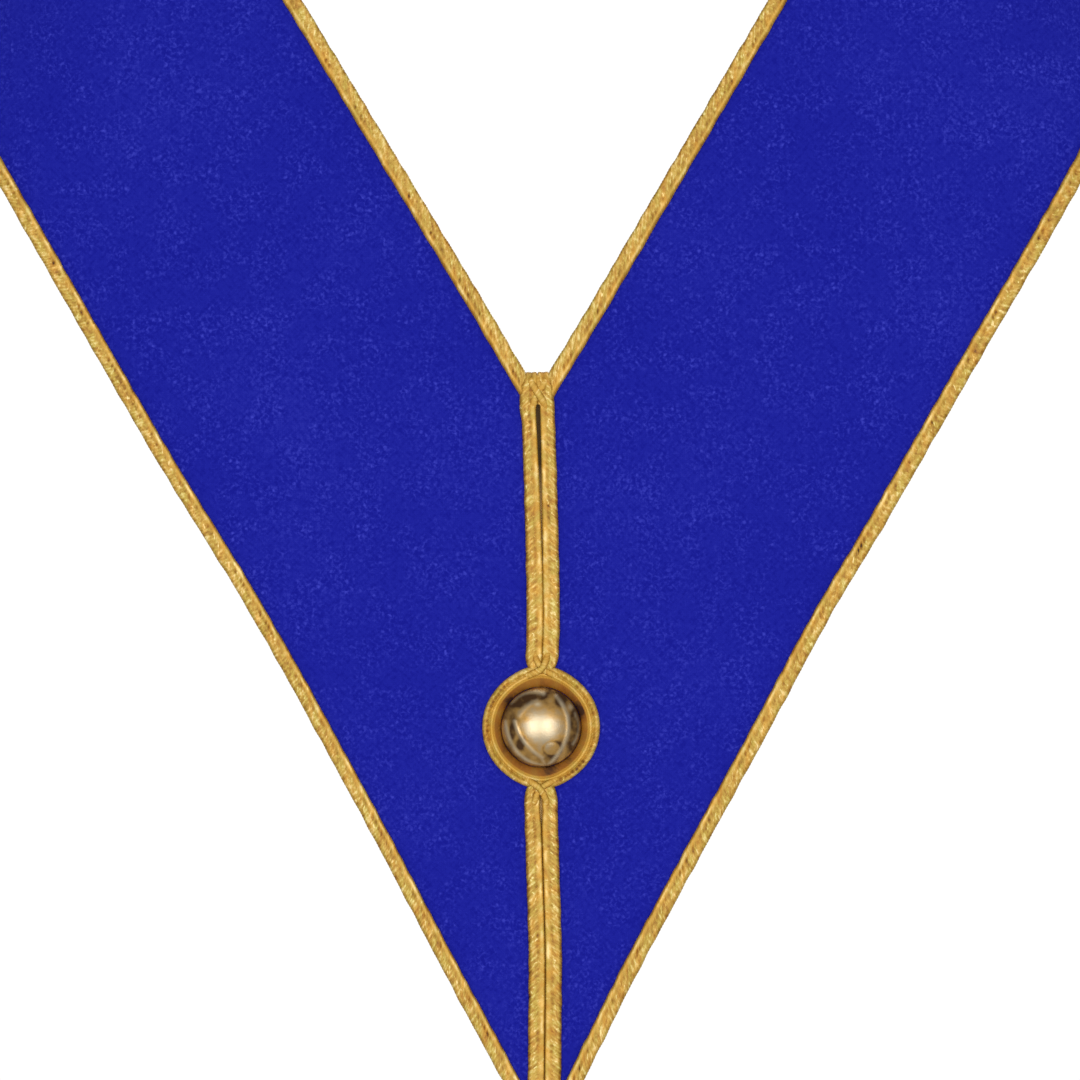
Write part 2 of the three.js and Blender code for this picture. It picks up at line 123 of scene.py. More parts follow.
@dataclass(frozen=True)
class CollarCut:
    """The flat cut of the collar's right arm, and the way that it wraps over the shoulder."""

    ribbon_width: float = 103.6 * MM
    ribbon_thickness: float = 1.8 * MM
    edge_inset: float = 0.4 * MM
    notch_half_width: float = 3.4 * MM
    arm_angle: float = 30.73
    outer_edge_angle: float = 30.13
    point_angle: float = 28.3
    point_ease_drop: float = 61.0 * MM
    neck_rise: float = 138.0 * MM
    shoulder_angle: float = 61.0
    shoulder_radius: float = 74.0 * MM
    back_angle: float = 10.0
    braid_width: float = 4.8 * MM
    lay_gap: float = 0.3 * MM
    button_drop: float = 101.2 * MM
    button_radius: float = 11.4 * MM
    ring_clearance: float = 0.6 * MM

    @cached_property
    def inner_edge(self) -> FlatLine:
        """The inner edge of the arm, from the notch up."""
        return FlatLine.leaning((self.notch_half_width, 0.0), self.arm_angle)

    @cached_property
    def outer_upper_edge(self) -> FlatLine:
        """The outer edge of the arm above its slight bend."""
        return FlatLine.leaning(self.inner_edge.moved_right(self.ribbon_width).point, self.outer_edge_angle)

    @cached_property
    def outer_lower_edge(self) -> FlatLine:
        """The outer edge of the arm below its slight bend, down to the point."""
        bend = self.outer_upper_edge.crossing(FlatLine.level(-self.point_ease_drop))
        return FlatLine.leaning(bend, self.point_angle)

    @cached_property
    def cone(self) -> dict[str, float]:
        """The shoulder's cone: how its axis lies, its half angle, and how far the cloth turns round it.

        Returns:
            Half of the back's lean, the axis's slope and the turn, in radians, and the sine and the
            cosine of the half angle.
        """
        half_lean = math.radians(self.back_angle) / 2
        axis_slope = math.atan(math.tan(math.radians(self.shoulder_angle)) / math.cos(half_lean))
        sine = math.sin(half_lean) * math.sin(axis_slope)
        cosine = math.sqrt(1 - sine**2)
        turn = math.acos((-math.cos(2 * half_lean) - sine**2) / cosine**2)
        return {
            "half_lean": half_lean,
            "axis_slope": axis_slope,
            "sine": sine,
            "cosine": cosine,
            "turn": turn,
        }

    @cached_property
    def axis(self) -> Array:
        """Direction of the cone's axis, away from its apex.

        Returns:
            A unit vector.
        """
        lean, slope = self.cone["half_lean"], self.cone["axis_slope"]
        down = math.sin(slope)
        return np.array([math.cos(slope), down * math.sin(lean), -down * math.cos(lean)])

    @cached_property
    def spokes(self) -> tuple[Array, Array]:
        """Two unit vectors across the axis: to the cone's first ray, and a quarter turn on."""
        first = (np.array([0.0, -1.0, 0.0]) + self.axis * self.cone["sine"]) / self.cone["cosine"]
        return first, np.cross(first, self.axis)

    @cached_property
    def flat_rays(self) -> tuple[Array, Array]:
        """Flat directions along the cone's first ray and square to it."""
        slope = math.radians(self.shoulder_angle)
        return np.array([math.cos(slope), -math.sin(slope)]), np.array([math.sin(slope), math.cos(slope)])

    @cached_property
    def apex(self) -> Array:
        """The cone's apex on the flat cloth."""
        start = np.array(self.inner_edge.crossing(FlatLine.level(self.neck_rise)))
        return start - self.flat_rays[0] * self.shoulder_radius * self.cone["cosine"] / self.cone["sine"]

    def ray(self, share: float) -> FlatLine:
        """The line from the apex that lies a share of the whole bend past the first ray.

        Args:
            share: 0 at the first ray and 1 at the last.

        Returns:
            The line.
        """
        angle = share * self.cone["turn"] * self.cone["sine"]
        direction = self.flat_rays[0] * math.cos(angle) + self.flat_rays[1] * math.sin(angle)
        return FlatLine(tuple(self.apex), tuple(direction))

    def back_seam(self, gap: float) -> FlatLine:
        """The line on the flat cloth that comes to lie half a gap from the middle plane at the back.

        Args:
            gap: the whole gap at the back.

        Returns:
            The line, which runs outwards.
        """
        angle = self.cone["turn"] * self.cone["sine"] - math.radians(self.shoulder_angle)
        normal = self.flat_rays[0] * math.cos(angle) + self.flat_rays[1] * math.sin(angle)
        return FlatLine(tuple(self.apex + normal * (gap / 2 - self.apex[0])), (normal[1], -normal[0]))

    def _wrap(self, points: Array, height: Array) -> Array:
        """Wraps flat points, in a frame whose origin is the notch.

        A point's angle round the apex is spent on turning about the cone's axis until the turn is used
        up, and what is left carries it on in the flat plane in front of the cone or behind it.

        Args:
            points: flat points, (..., 2).
            height: their height over the cloth's face, (...).

        Returns:
            Points in the notch's frame, (..., 3).
        """
        away = points - self.apex
        reach = np.linalg.norm(away, axis=-1)
        angle = np.arctan2(away @ self.flat_rays[1], away @ self.flat_rays[0])
        turn = np.clip(angle / self.cone["sine"], 0.0, self.cone["turn"])
        rest = (angle - turn * self.cone["sine"])[..., None]
        spoke = self.spokes[0] * np.cos(turn)[..., None] + self.spokes[1] * np.sin(turn)[..., None]
        ray = self.axis * self.cone["cosine"] + spoke * self.cone["sine"]
        normal = spoke * self.cone["cosine"] - self.axis * self.cone["sine"]
        side = np.cross(spoke, self.axis)
        reach = reach[..., None]
        base = np.array([self.apex[0], 0.0, self.apex[1]])
        return base + ray * reach * np.cos(rest) + side * reach * np.sin(rest) + normal * height[..., None]

    @cached_property
    def nape(self) -> Array:
        """The place of the row frame's origin: the inner edge at the middle of the back."""
        corner = np.array(self.inner_edge.moved_right(self.edge_inset).crossing(self.back_seam(0.0)))
        return self._wrap(corner, np.array(-self.ribbon_thickness)) * np.array([0.0, 1.0, 1.0])

    def wrap(self, points: Array, height: Array) -> Array:
        """Places flat points of the right arm in the row frame.

        Args:
            points: flat points, (..., 2).
            height: their height over the cloth's face, (...).

        Returns:
            Points in the row frame, (..., 3).
        """
        return self._wrap(points, np.asarray(height, float)) - self.nape


@dataclass(frozen=True)
class Strip:
    """Rows of points along a strip of the arm, between its outer and its inner side."""

    outer: Array
    inner: Array

    @classmethod
    def along_arm(
        cls,
        cut: CollarCut,
        outer: list[FlatLine],
        inner: list[FlatLine],
        front: list[FlatLine],
        step: float,
        seam_gap: float,
        seam_rows: tuple[float, ...] = (),
    ) -> "Strip":
        """Lays rows from the front to the back seam.

        In front of the shoulder a row joins the points at the same share of both sides' lengths, over
        the shoulder it lies on a ray of the cone, and behind it the rows open evenly to the back seam.

        Args:
            cut: the collar's sizes.
            outer: the lines of the outer side, one or two from the front up.
            inner: the lines of the inner side, as many.
            front: the cuts that end the outer and the inner side at the front.
            step: the distance between rows.
            seam_gap: the whole gap left at the back seam.
            seam_rows: distances from the back seam of extra rows beside it.

        Returns:
            The strip.
        """
        sides = []
        for lines, end in ((outer, front[0]), (inner, front[1])):
            corners = [lines[0].crossing(end)]
            corners += [a.crossing(b) for a, b in zip(lines, lines[1:])]
            corners.append(lines[-1].crossing(cut.ray(0.0)))
            sides.append(np.array(corners))
        lengths = [np.linalg.norm(np.diff(s, axis=0), axis=1).sum() for s in sides]
        count = max(2, math.ceil(max(lengths) / step))
        rows = [cls._resampled(s, count) for s in sides]
        bend = cut.cone["turn"] * cut.cone["sine"]
        reach = np.linalg.norm(sides[0][-1] - cut.apex)
        turns = np.linspace(0.0, 1.0, max(2, math.ceil(reach * bend / step)) + 1)[1:]
        seam = cut.back_seam(seam_gap)
        ends = [np.array(lines[-1].crossing(seam)) for lines in (outer, inner)]
        last = [lines[-1].crossing(cut.ray(1.0)) for lines in (outer, inner)]
        behind = [np.linalg.norm(end - start) for end, start in zip(ends, last)]
        even = np.linspace(0.0, 1.0, max(2, math.ceil(max(behind) / step)) + 1)[1:-1]
        even = even[even < 1.0 - 1.3 * max(seam_rows, default=0.0) / min(behind)]
        for index, (lines, end, length) in enumerate(zip((outer, inner), ends, behind)):
            over = np.array([lines[-1].crossing(cut.ray(t)) for t in turns])
            near = [1.0 - d / length for d in seam_rows]
            shares = np.concatenate([even, near, [1.0]])[:, None]
            rows[index] = np.concatenate([rows[index], over, over[-1] * (1 - shares) + end * shares])
        return cls(rows[0], rows[1])

    @staticmethod
    def _resampled(corners: Array, count: int) -> Array:
        """Points spaced evenly along a line of corners.

        Args:
            corners: the line's corners.
            count: how many steps to make.

        Returns:
            The points, one more than the steps.
        """
        reach = np.concatenate([[0.0], np.cumsum(np.linalg.norm(np.diff(corners, axis=0), axis=1))])
        at = np.linspace(0.0, reach[-1], count + 1)
        return np.stack([np.interp(at, reach, corners[:, i]) for i in range(2)], axis=1)

    @property
    def along(self) -> Array:
        """Length along the strip's middle at each row."""
        middle = (self.outer + self.inner) / 2
        return np.concatenate([[0.0], np.cumsum(np.linalg.norm(np.diff(middle, axis=0), axis=1))])

    def points(self, across: Array) -> Array:
        """Flat points at shares of the way from the outer to the inner side.

        Args:
            across: shares, (rows, columns) or (columns,).

        Returns:
            Flat points, (rows, columns, 2).
        """
        share = np.broadcast_to(across, (len(self.outer), np.shape(across)[-1]))[..., None]
        return self.outer[:, None] * (1 - share) + self.inner[:, None] * share


@dataclass(frozen=True)
class SurfaceMesh:
    """Points in rows and columns, whose columns close on themselves, and what is painted on them."""

    points: Array
    uv: Array
    paint: dict[str, Array] = field(default_factory=dict)
    closed_rows: bool = False

    def build(self, name: str, side: Side, material: Material) -> bpy.types.Object:
        """Makes the mesh object: quads between neighbours in the grid, and a cap at each open end.

        Args:
            name: the object's name.
            side: LEFT mirrors the grid in the middle plane.
            material: its finish.

        Returns:
            The object.
        """
        rows, columns = self.points.shape[:2]
        vertices = self.points.reshape(-1, 3) * np.array([side.value, 1.0, 1.0])
        down = np.arange(rows if self.closed_rows else rows - 1)[:, None]
        right = np.arange(columns)[None, :]
        below, beside = (down + 1) % rows, (right + 1) % columns
        here, under = down * columns, below * columns
        corners = (here + right, under + right, under + beside, here + beside)
        quads = [np.broadcast_to(corner, (len(down), columns)) for corner in corners]
        quads = np.stack(quads, axis=-1).reshape(-1, 4)
        skin = len(quads)
        if not self.closed_rows:
            caps = [self._cap(0, columns, True), self._cap(rows - 1, columns, False)]
            quads = np.concatenate([quads, *caps])
        if self._turned_in(vertices, quads):
            quads = quads[:, ::-1]
        mesh = bpy.data.meshes.new(name)
        mesh.vertices.add(len(vertices))
        mesh.vertices.foreach_set("co", vertices.astype(np.float32).ravel())
        mesh.loops.add(quads.size)
        mesh.loops.foreach_set("vertex_index", quads.astype(np.int32).ravel())
        mesh.polygons.add(len(quads))
        mesh.polygons.foreach_set("loop_start", np.arange(0, quads.size, 4, dtype=np.int32))
        mesh.polygons.foreach_set("use_smooth", np.arange(len(quads)) < skin)
        layer = mesh.uv_layers.new(name="flat")
        layer.data.foreach_set("uv", self.uv.reshape(-1, 2)[quads.ravel()].astype(np.float32).ravel())
        for attribute, values in self.paint.items():
            made = mesh.attributes.new(attribute, "FLOAT", "POINT")
            made.data.foreach_set("value", values.astype(np.float32).ravel())
        mesh.update(calc_edges=True)
        mesh.validate()
        mesh.materials.append(material)
        made_object = bpy.data.objects.new(name, mesh)
        bpy.context.scene.collection.objects.link(made_object)
        return made_object

    @staticmethod
    def _cap(row: int, columns: int, first: bool) -> Array:
        """Quads across the ring of one row, joining each column to the one opposite.

        Args:
            row: the row's number.
            columns: how many columns there are.
            first: whether it is the first row, whose cap faces the other way.

        Returns:
            The quads' corners, (count, 4).
        """
        low = np.arange(columns // 2 - 1)
        high = columns - 1 - low
        base = row * columns
        quads = np.stack([base + low, base + low + 1, base + high - 1, base + high], axis=-1)
        return quads if first else quads[:, ::-1]

    @staticmethod
    def _turned_in(vertices: Array, quads: Array) -> bool:
        """Whether the faces point into the solid, by the sign of its volume.

        Args:
            vertices: the mesh's points.
            quads: the mesh's faces.

        Returns:
            True where the faces have to be turned.
        """
        a, b, c, d = (vertices[quads[:, i]] for i in range(4))
        volume = (a * np.cross(b, c)).sum() + (a * np.cross(c, d)).sum()
        return bool(volume < 0)


class NodeGraph:
    """A material's nodes, made and joined by short calls."""

    def __init__(self, name: str) -> None:
        """Starts a material with one Principled shader.

        Args:
            name: the material's name.
        """
        self.material = bpy.data.materials.new(name)
        self.material.use_nodes = True
        self.tree = self.material.node_tree
        self.shader = self.tree.nodes["Principled BSDF"]

    def add(self, kind: str, inputs: dict[str, object] | None = None, **settings: object) -> bpy.types.Node:
        """Adds a node.

        Args:
            kind: the node's type, without the ShaderNode prefix.
            inputs: values or output sockets for its inputs, by name or number.
            settings: the node's own settings.

        Returns:
            The node.
        """
        node = self.tree.nodes.new(f"ShaderNode{kind}")
        for key, value in settings.items():
            setattr(node, key, value)
        for key, value in (inputs or {}).items():
            self.put(node.inputs[key], value)
        return node

    def put(self, socket: Socket, value: object) -> None:
        """Links an output to a socket, or sets its value.

        Args:
            socket: an input socket.
            value: an output socket, or a plain value.
        """
        if isinstance(value, Socket):
            self.tree.links.new(value, socket)
        else:
            socket.default_value = value

    def math(self, operation: str, first: object, second: object = 0.0, clamp: bool = False) -> Socket:
        """A Math node's output."""
        return self.add("Math", {0: first, 1: second}, operation=operation, use_clamp=clamp).outputs[0]

    def ramp(self, factor: object, stops: list[tuple[float, Colour]]) -> Socket:
        """A colour ramp's output, from stops of a position and a linear colour.

        Args:
            factor: a socket or a value from 0 to 1.
            stops: the stops in order.

        Returns:
            The ramp's colour.
        """
        node = self.add("ValToRGB", {"Fac": factor})
        elements = node.color_ramp.elements
        while len(elements) < len(stops):
            elements.new(0.5)
        for element, (position, colour) in zip(elements, stops):
            element.position = position
            element.color = (*colour, 1.0)
        return node.outputs["Color"]

    def scaled(self, factor: object, low: float, high: float, held: bool = True) -> Socket:
        """A value from 0 to 1 taken to a range, and held at its ends or run on past them."""
        node = self.add("MapRange", {"Value": factor, "To Min": low, "To Max": high}, clamp=held)
        return node.outputs["Result"]

    def over(self, value: Socket, start: float, gain: float) -> Socket:
        """How far a value is over a start, times a gain, from 0 to 1."""
        return self.math("MULTIPLY", self.math("SUBTRACT", value, start), gain, clamp=True)

    def noise(self, place: Socket, scale: float, detail: float = 2.0, **inputs: float) -> Socket:
        """A Noise texture's value."""
        node = self.add("TexNoise", {"Vector": place, "Scale": scale, "Detail": detail, **inputs})
        return node.outputs["Fac"]

    def shade(self, name: str, value: object) -> None:
        """Links an output to one of the shader's inputs, or sets its value."""
        self.put(self.shader.inputs[name], value)

    def attribute(self, name: str) -> Socket:
        """The value painted on the mesh under a name."""
        return self.add("Attribute", attribute_name=name).outputs["Fac"]

    def bump(self, height: object, strength: float, distance: float) -> None:
        """Puts a bump on the shader's normal."""
        node = self.add("Bump", {"Height": height, "Strength": strength, "Distance": distance})
        self.shade("Normal", node.outputs["Normal"])


def linear(red: int, green: int, blue: int) -> Colour:
    """A display colour from 0 to 255 as linear light."""
    shares = [value / 255 for value in (red, green, blue)]
    return tuple(((share + 0.055) / 1.055) ** 2.4 if share > 0.04 else share / 12.92 for share in shares)


@dataclass(frozen=True)
class RibbonCloth:
    """Royal blue woven ribbon: pale specks in clumps on an even ground, and faint slanting strokes.

    Where the cloth shows in the slit between the front braids, painted shade colours it.
    """

    low: tuple[int, int, int] = (19, 23, 141)
    colour: tuple[int, int, int] = (26, 31, 151)
    high: tuple[int, int, int] = (58, 63, 184)
    slit_shade_dark: tuple[int, int, int] = (92, 72, 46)
    slit_shade_light: tuple[int, int, int] = (235, 190, 118)
    speck_scale: float = 0.5
    speck_radius: float = 0.34
    speck_strength: float = 0.6
    stroke_scale: float = 0.9
    thread_period: float = 0.62
    roughness: float = 0.9
    specular: float = 0.08

    def strokes(self, graph: NodeGraph, uv: Socket) -> Socket:
        """Sum of two noises, each drawn out along one diagonal of the cloth.

        Args:
            graph: the material's nodes.
            uv: the flat coordinates in millimetres.

        Returns:
            A value round 1.
        """
        parts = []
        for angle in (45.0, -45.0):
            turned = graph.add(
                "Mapping",
                {"Vector": uv, "Rotation": (0.0, 0.0, math.radians(angle)), "Scale": (2.6, 0.8, 1.0)},
                vector_type="TEXTURE",
            ).outputs[0]
            parts.append(graph.noise(turned, self.stroke_scale))
        return graph.math("ADD", parts[0], parts[1])

    def specks(self, graph: NodeGraph, uv: Socket, clumps: Socket) -> Socket:
        """Round pale specks, one in each cell of a loose net, bright at random and where they clump.

        Args:
            graph: the material's nodes.
            uv: the flat coordinates in millimetres.
            clumps: a slow noise that is high in the clumps.

        Returns:
            A value from 0 up.
        """
        cells = graph.add("TexVoronoi", {"Vector": uv, "Scale": self.speck_scale}, voronoi_dimensions="2D")
        inside = graph.math("SUBTRACT", self.speck_radius, cells.outputs["Distance"])
        spot = graph.math("MULTIPLY", inside, 1.0 / self.speck_radius, clamp=True)
        chance = graph.add("SeparateColor", {"Color": cells.outputs["Color"]}).outputs[0]
        lit = graph.over(chance, 0.5, 2.0)
        where = graph.math("MULTIPLY", graph.over(clumps, 0.36, 4.0), self.speck_strength)
        return graph.math("MULTIPLY", graph.math("MULTIPLY", spot, lit), where)

    def build(self) -> Material:
        """Builds the material on the flat UV map, which is in millimetres.

        Returns:
            The material.
        """
        graph = NodeGraph("ribbon_cloth")
        uv = graph.add("UVMap", uv_map="flat").outputs["UV"]
        threads = None
        for direction in ("X", "Y"):
            wave = graph.add(
                "TexWave",
                {"Vector": uv, "Scale": 1.0 / (self.thread_period * 3.1), "Distortion": 0.8, "Detail": 1.0},
                bands_direction=direction,
            ).outputs["Fac"]
            threads = wave if threads is None else graph.math("ADD", threads, wave)
        fine = graph.noise(uv, 1.0, Distortion=0.7)
        clumps = graph.noise(uv, 0.11)
        mottle = graph.noise(uv, 0.02)
        contrast = graph.math("ADD", graph.over(clumps, 0.38, 4.5), 0.3)
        grain = graph.math("MULTIPLY", graph.scaled(fine, -0.58, 0.58), contrast)
        tone = graph.math("ADD", self.specks(graph, uv, clumps), grain)
        tone = graph.math("ADD", tone, graph.scaled(self.strokes(graph, uv), -0.8, 0.0))
        tone = graph.math("ADD", tone, graph.scaled(mottle, 0.24, 0.50))
        tone = graph.math("ADD", tone, graph.scaled(threads, -0.02, 0.03), clamp=True)
        base = graph.ramp(
            tone,
            [(0.16, linear(*self.low)), (0.4, linear(*self.colour)), (0.95, linear(*self.high))],
        )
        # Painted shade where the cloth shows in the slit between the front braids, on the painted "seam"
        # band: dark brown near the notch, and lighter golden brown lower down, standing in for the braids'
        # gold light.
        below_notch = graph.math("MULTIPLY", graph.add("SeparateXYZ", {"Vector": uv}).outputs["Y"], -0.01)
        slit_shade = graph.ramp(below_notch, [(0.26, linear(*self.slit_shade_dark)), (0.38, linear(*self.slit_shade_light))])
        seam = graph.add("MixRGB", {"Fac": graph.attribute("seam"), 1: base, 2: slit_shade})
        graph.shade("Base Color", seam.outputs["Color"])
        height = graph.math("ADD", graph.scaled(threads, 0.0, 0.5), graph.scaled(fine, 0.0, 0.5))
        graph.bump(height, 0.3, 0.1 * MM)
        graph.shade("Roughness", self.roughness)
        graph.shade("Specular IOR Level", self.specular)
        return graph.material


@dataclass(frozen=True)
class GoldBraidThread:
    """Gold metal thread: even on the smooth cord and speckled on the other.

    Its painted value gives painted shade in the pits and on the sides, and painted highlights and glints.
    """

    bare: tuple[int, int, int] = (58, 32, 10)
    pit: tuple[int, int, int] = (138, 89, 22)
    valley: tuple[int, int, int] = (168, 122, 40)
    thread: tuple[int, int, int] = (196, 158, 68)
    crest: tuple[int, int, int] = (244, 216, 150)
    orange: Colour = (1.06, 0.92, 0.66)
    olive: Colour = (0.92, 1.03, 0.92)
    grain_scale: float = 1.05
    roughness: float = 0.5
    metallic: float = 0.2
    specular: float = 0.3

    def build(self) -> Material:
        """Builds the material on the braid's UV map, in millimetres, and what is painted on it.

        Returns:
            The material.
        """
        graph = NodeGraph("gold_braid_thread")
        uv = graph.add("UVMap", uv_map="flat").outputs["UV"]
        turned = graph.add(
            "Mapping",
            {"Vector": uv, "Rotation": (0.0, 0.0, math.radians(-38.0)), "Scale": (2.0, 0.9, 1.0)},
            vector_type="TEXTURE",
        ).outputs[0]
        grain = graph.noise(turned, self.grain_scale, Roughness=0.6)
        slow = graph.noise(uv, 0.1)
        glint_noise = graph.noise(uv, 0.8, 1.0, Distortion=0.6)
        grain_depth = graph.scaled(graph.attribute("smooth"), 1.25, 0.6, held=False)
        speckle = graph.math("MULTIPLY", graph.scaled(grain, -0.5, 0.5), grain_depth)
        # The painted value holds painted shade, painted highlights and the threads' own random tone.
        tone = graph.math("ADD", graph.attribute("light_and_tone"), speckle)
        tone = graph.math("ADD", tone, graph.scaled(slow, -0.16, 0.16))
        # Painted glints: pale spots standing in for glints of light on the metal thread.
        painted_glint = graph.math("MULTIPLY", graph.over(glint_noise, 0.63, 2.9), grain_depth)
        tone = graph.math("ADD", tone, painted_glint, clamp=True)
        # From the darkest painted shade under the cord, through painted shade in the pits and valleys and
        # the thread's own gold, to a pale painted highlight on the crests.
        base = graph.ramp(
            tone,
            [
                (0.0, linear(*self.bare)),
                (0.14, linear(*self.pit)),
                (0.36, linear(*self.valley)),
                (0.62, linear(*self.thread)),
                (1.0, linear(*self.crest)),
            ],
        )
        lean = graph.scaled(graph.attribute("smooth"), 0.05, -0.06, held=False)
        hue = graph.math("ADD", graph.noise(uv, 0.3), lean)
        tint = graph.ramp(hue, [(0.32, self.orange), (0.5, (1.0, 1.0, 1.0)), (0.68, self.olive)])
        tinted = graph.add("MixRGB", {"Fac": 1.0, 1: base, 2: tint}, blend_type="MULTIPLY")
        graph.shade("Base Color", tinted.outputs["Color"])
        graph.shade("Roughness", graph.scaled(grain, self.roughness - 0.1, self.roughness + 0.12))
        graph.shade("Specular IOR Level", self.specular)
        graph.shade("Metallic", self.metallic)
        graph.bump(speckle, 0.4, 0.1 * MM)
        return graph.material


@dataclass(frozen=True)
class GiltMetal:
    """Polished gilt: pale where worn and where highlights are painted, and darkened by painted shade."""

    name: str = "gilt_metal"
    wear_and_highlight: Colour = (0.66, 0.54, 0.35)
    open: Colour = (0.46, 0.37, 0.24)
    shaded: Colour = (0.52, 0.30, 0.09)
    deep: Colour = (0.1, 0.05, 0.022)
    roughness: float = 0.35

    def build(self) -> Material:
        """Builds the material on the piece's painted shade and its painted wear and highlights, and its
        place.

        Returns:
            The material.
        """
        graph = NodeGraph(self.name)
        place = graph.add("TexCoord").outputs["Object"]
        cloud = graph.noise(place, 300.0, 3.0)
        scratch = graph.noise(place, 1900.0)
        # Painted shade from the piece, with random blotches of tone.
        shade_and_tone = graph.math("ADD", graph.attribute("shade_and_tone"), graph.scaled(cloud, -0.6, 0.6), clamp=True)
        # Open tone where lit; the shaded and deep colours are painted shade and dark painted reflection.
        ground = graph.ramp(shade_and_tone, [(0.1, self.open), (0.5, self.shaded), (0.95, self.deep)])
        # Pale where the raised curves are worn and where highlights are painted.
        mixed = graph.add("MixRGB", {"Fac": graph.attribute("wear_and_highlight"), 1: ground, 2: (*self.wear_and_highlight, 1.0)})
        graph.shade("Base Color", mixed.outputs["Color"])
        graph.shade("Roughness", graph.scaled(cloud, self.roughness - 0.08, self.roughness + 0.14))
        graph.shade("Metallic", 1.0)
        wear = graph.math("ADD", graph.scaled(cloud, 0.0, 0.8), graph.scaled(scratch, 0.0, 0.2))
        graph.bump(wear, 0.6, 0.14 * MM)
        return graph.material


@dataclass(frozen=True)
class PaleFloor:
    """Matt pale floor."""

    colour: tuple[int, int, int] = (232, 232, 230)

    def build(self) -> Material:
        """Builds the material with a faint unevenness.

        Returns:
            The material.
        """
        graph = NodeGraph("pale_floor")
        place = graph.add("TexCoord").outputs["Object"]
        high = linear(*self.colour)
        low = tuple(value * 0.96 for value in high)
        graph.shade("Base Color", graph.ramp(graph.noise(place, 6.0, 3.0), [(0.3, low), (0.7, high)]))
        graph.shade("Roughness", 0.9)
        return graph.material


def wander(along: Array, period: float, seed: int) -> Array:
    """A smooth aimless wave from -1 to 1 along a length: three sines of unlike periods, from a seed.

    Args:
        along: the length at each place.
        period: the middle one of the sines' periods.
        seed: sets where each sine starts.

    Returns:
        The wave at each place.
    """
    phases = np.random.default_rng(seed).uniform(0.0, 2 * np.pi, 3)
    waves = [np.sin(2 * np.pi * along / (period * k) + p) for k, p in zip((1.0, 1.63, 0.71), phases)]
    return np.sum(waves, axis=0) / 3.0


def bell(distance: Array, width: float) -> Array:
    """A bell curve: 1 at no distance, and e to the power -1 at the width."""
    return np.exp(-((distance / width) ** 2))


def eased(value: Array) -> Array:
    """Eases a value from 0 to 1 in and out, as three squares less two cubes, and holds it beyond."""
    held = np.clip(value, 0.0, 1.0)
    return held * held * (3 - 2 * held)


def curve_through(points: Array, step: float) -> Array:
    """Points along the smooth curve through a few points.

    Between two points runs a cubic, whose slope at each point is half the way between its neighbours.

    Args:
        points: the points to pass through, (count, dimensions).
        step: the distance between the points of the curve.

    Returns:
        The curve's points.
    """
    spans = len(points) - 1
    wide = np.concatenate([2 * points[:1] - points[1:2], points, 2 * points[-1:] - points[-2:-1]])
    slopes = (wide[2:] - wide[:-2]) / 2
    length = np.linalg.norm(np.diff(points, axis=0), axis=1).sum()
    at = np.linspace(0.0, spans, max(8, math.ceil(length / step)))
    low = np.minimum(at.astype(int), spans - 1)
    t = (at - low)[:, None]
    start = (1 + 2 * t) * (1 - t) ** 2 * points[low] + t * (1 - t) ** 2 * slopes[low]
    return start + t**2 * (3 - 2 * t) * points[low + 1] + t**2 * (t - 1) * slopes[low + 1]


@dataclass(frozen=True)
class Stray:
    """How far the sewn collar strays from its straight cut, at a height on the flat cloth."""

    up: float
    by: float


def strays(*rows: tuple[float, float]) -> tuple[Stray, ...]:
    """Strays from rows of millimetres, each its height and its move."""
    return tuple(Stray(up * MM, by * MM) for up, by in rows)


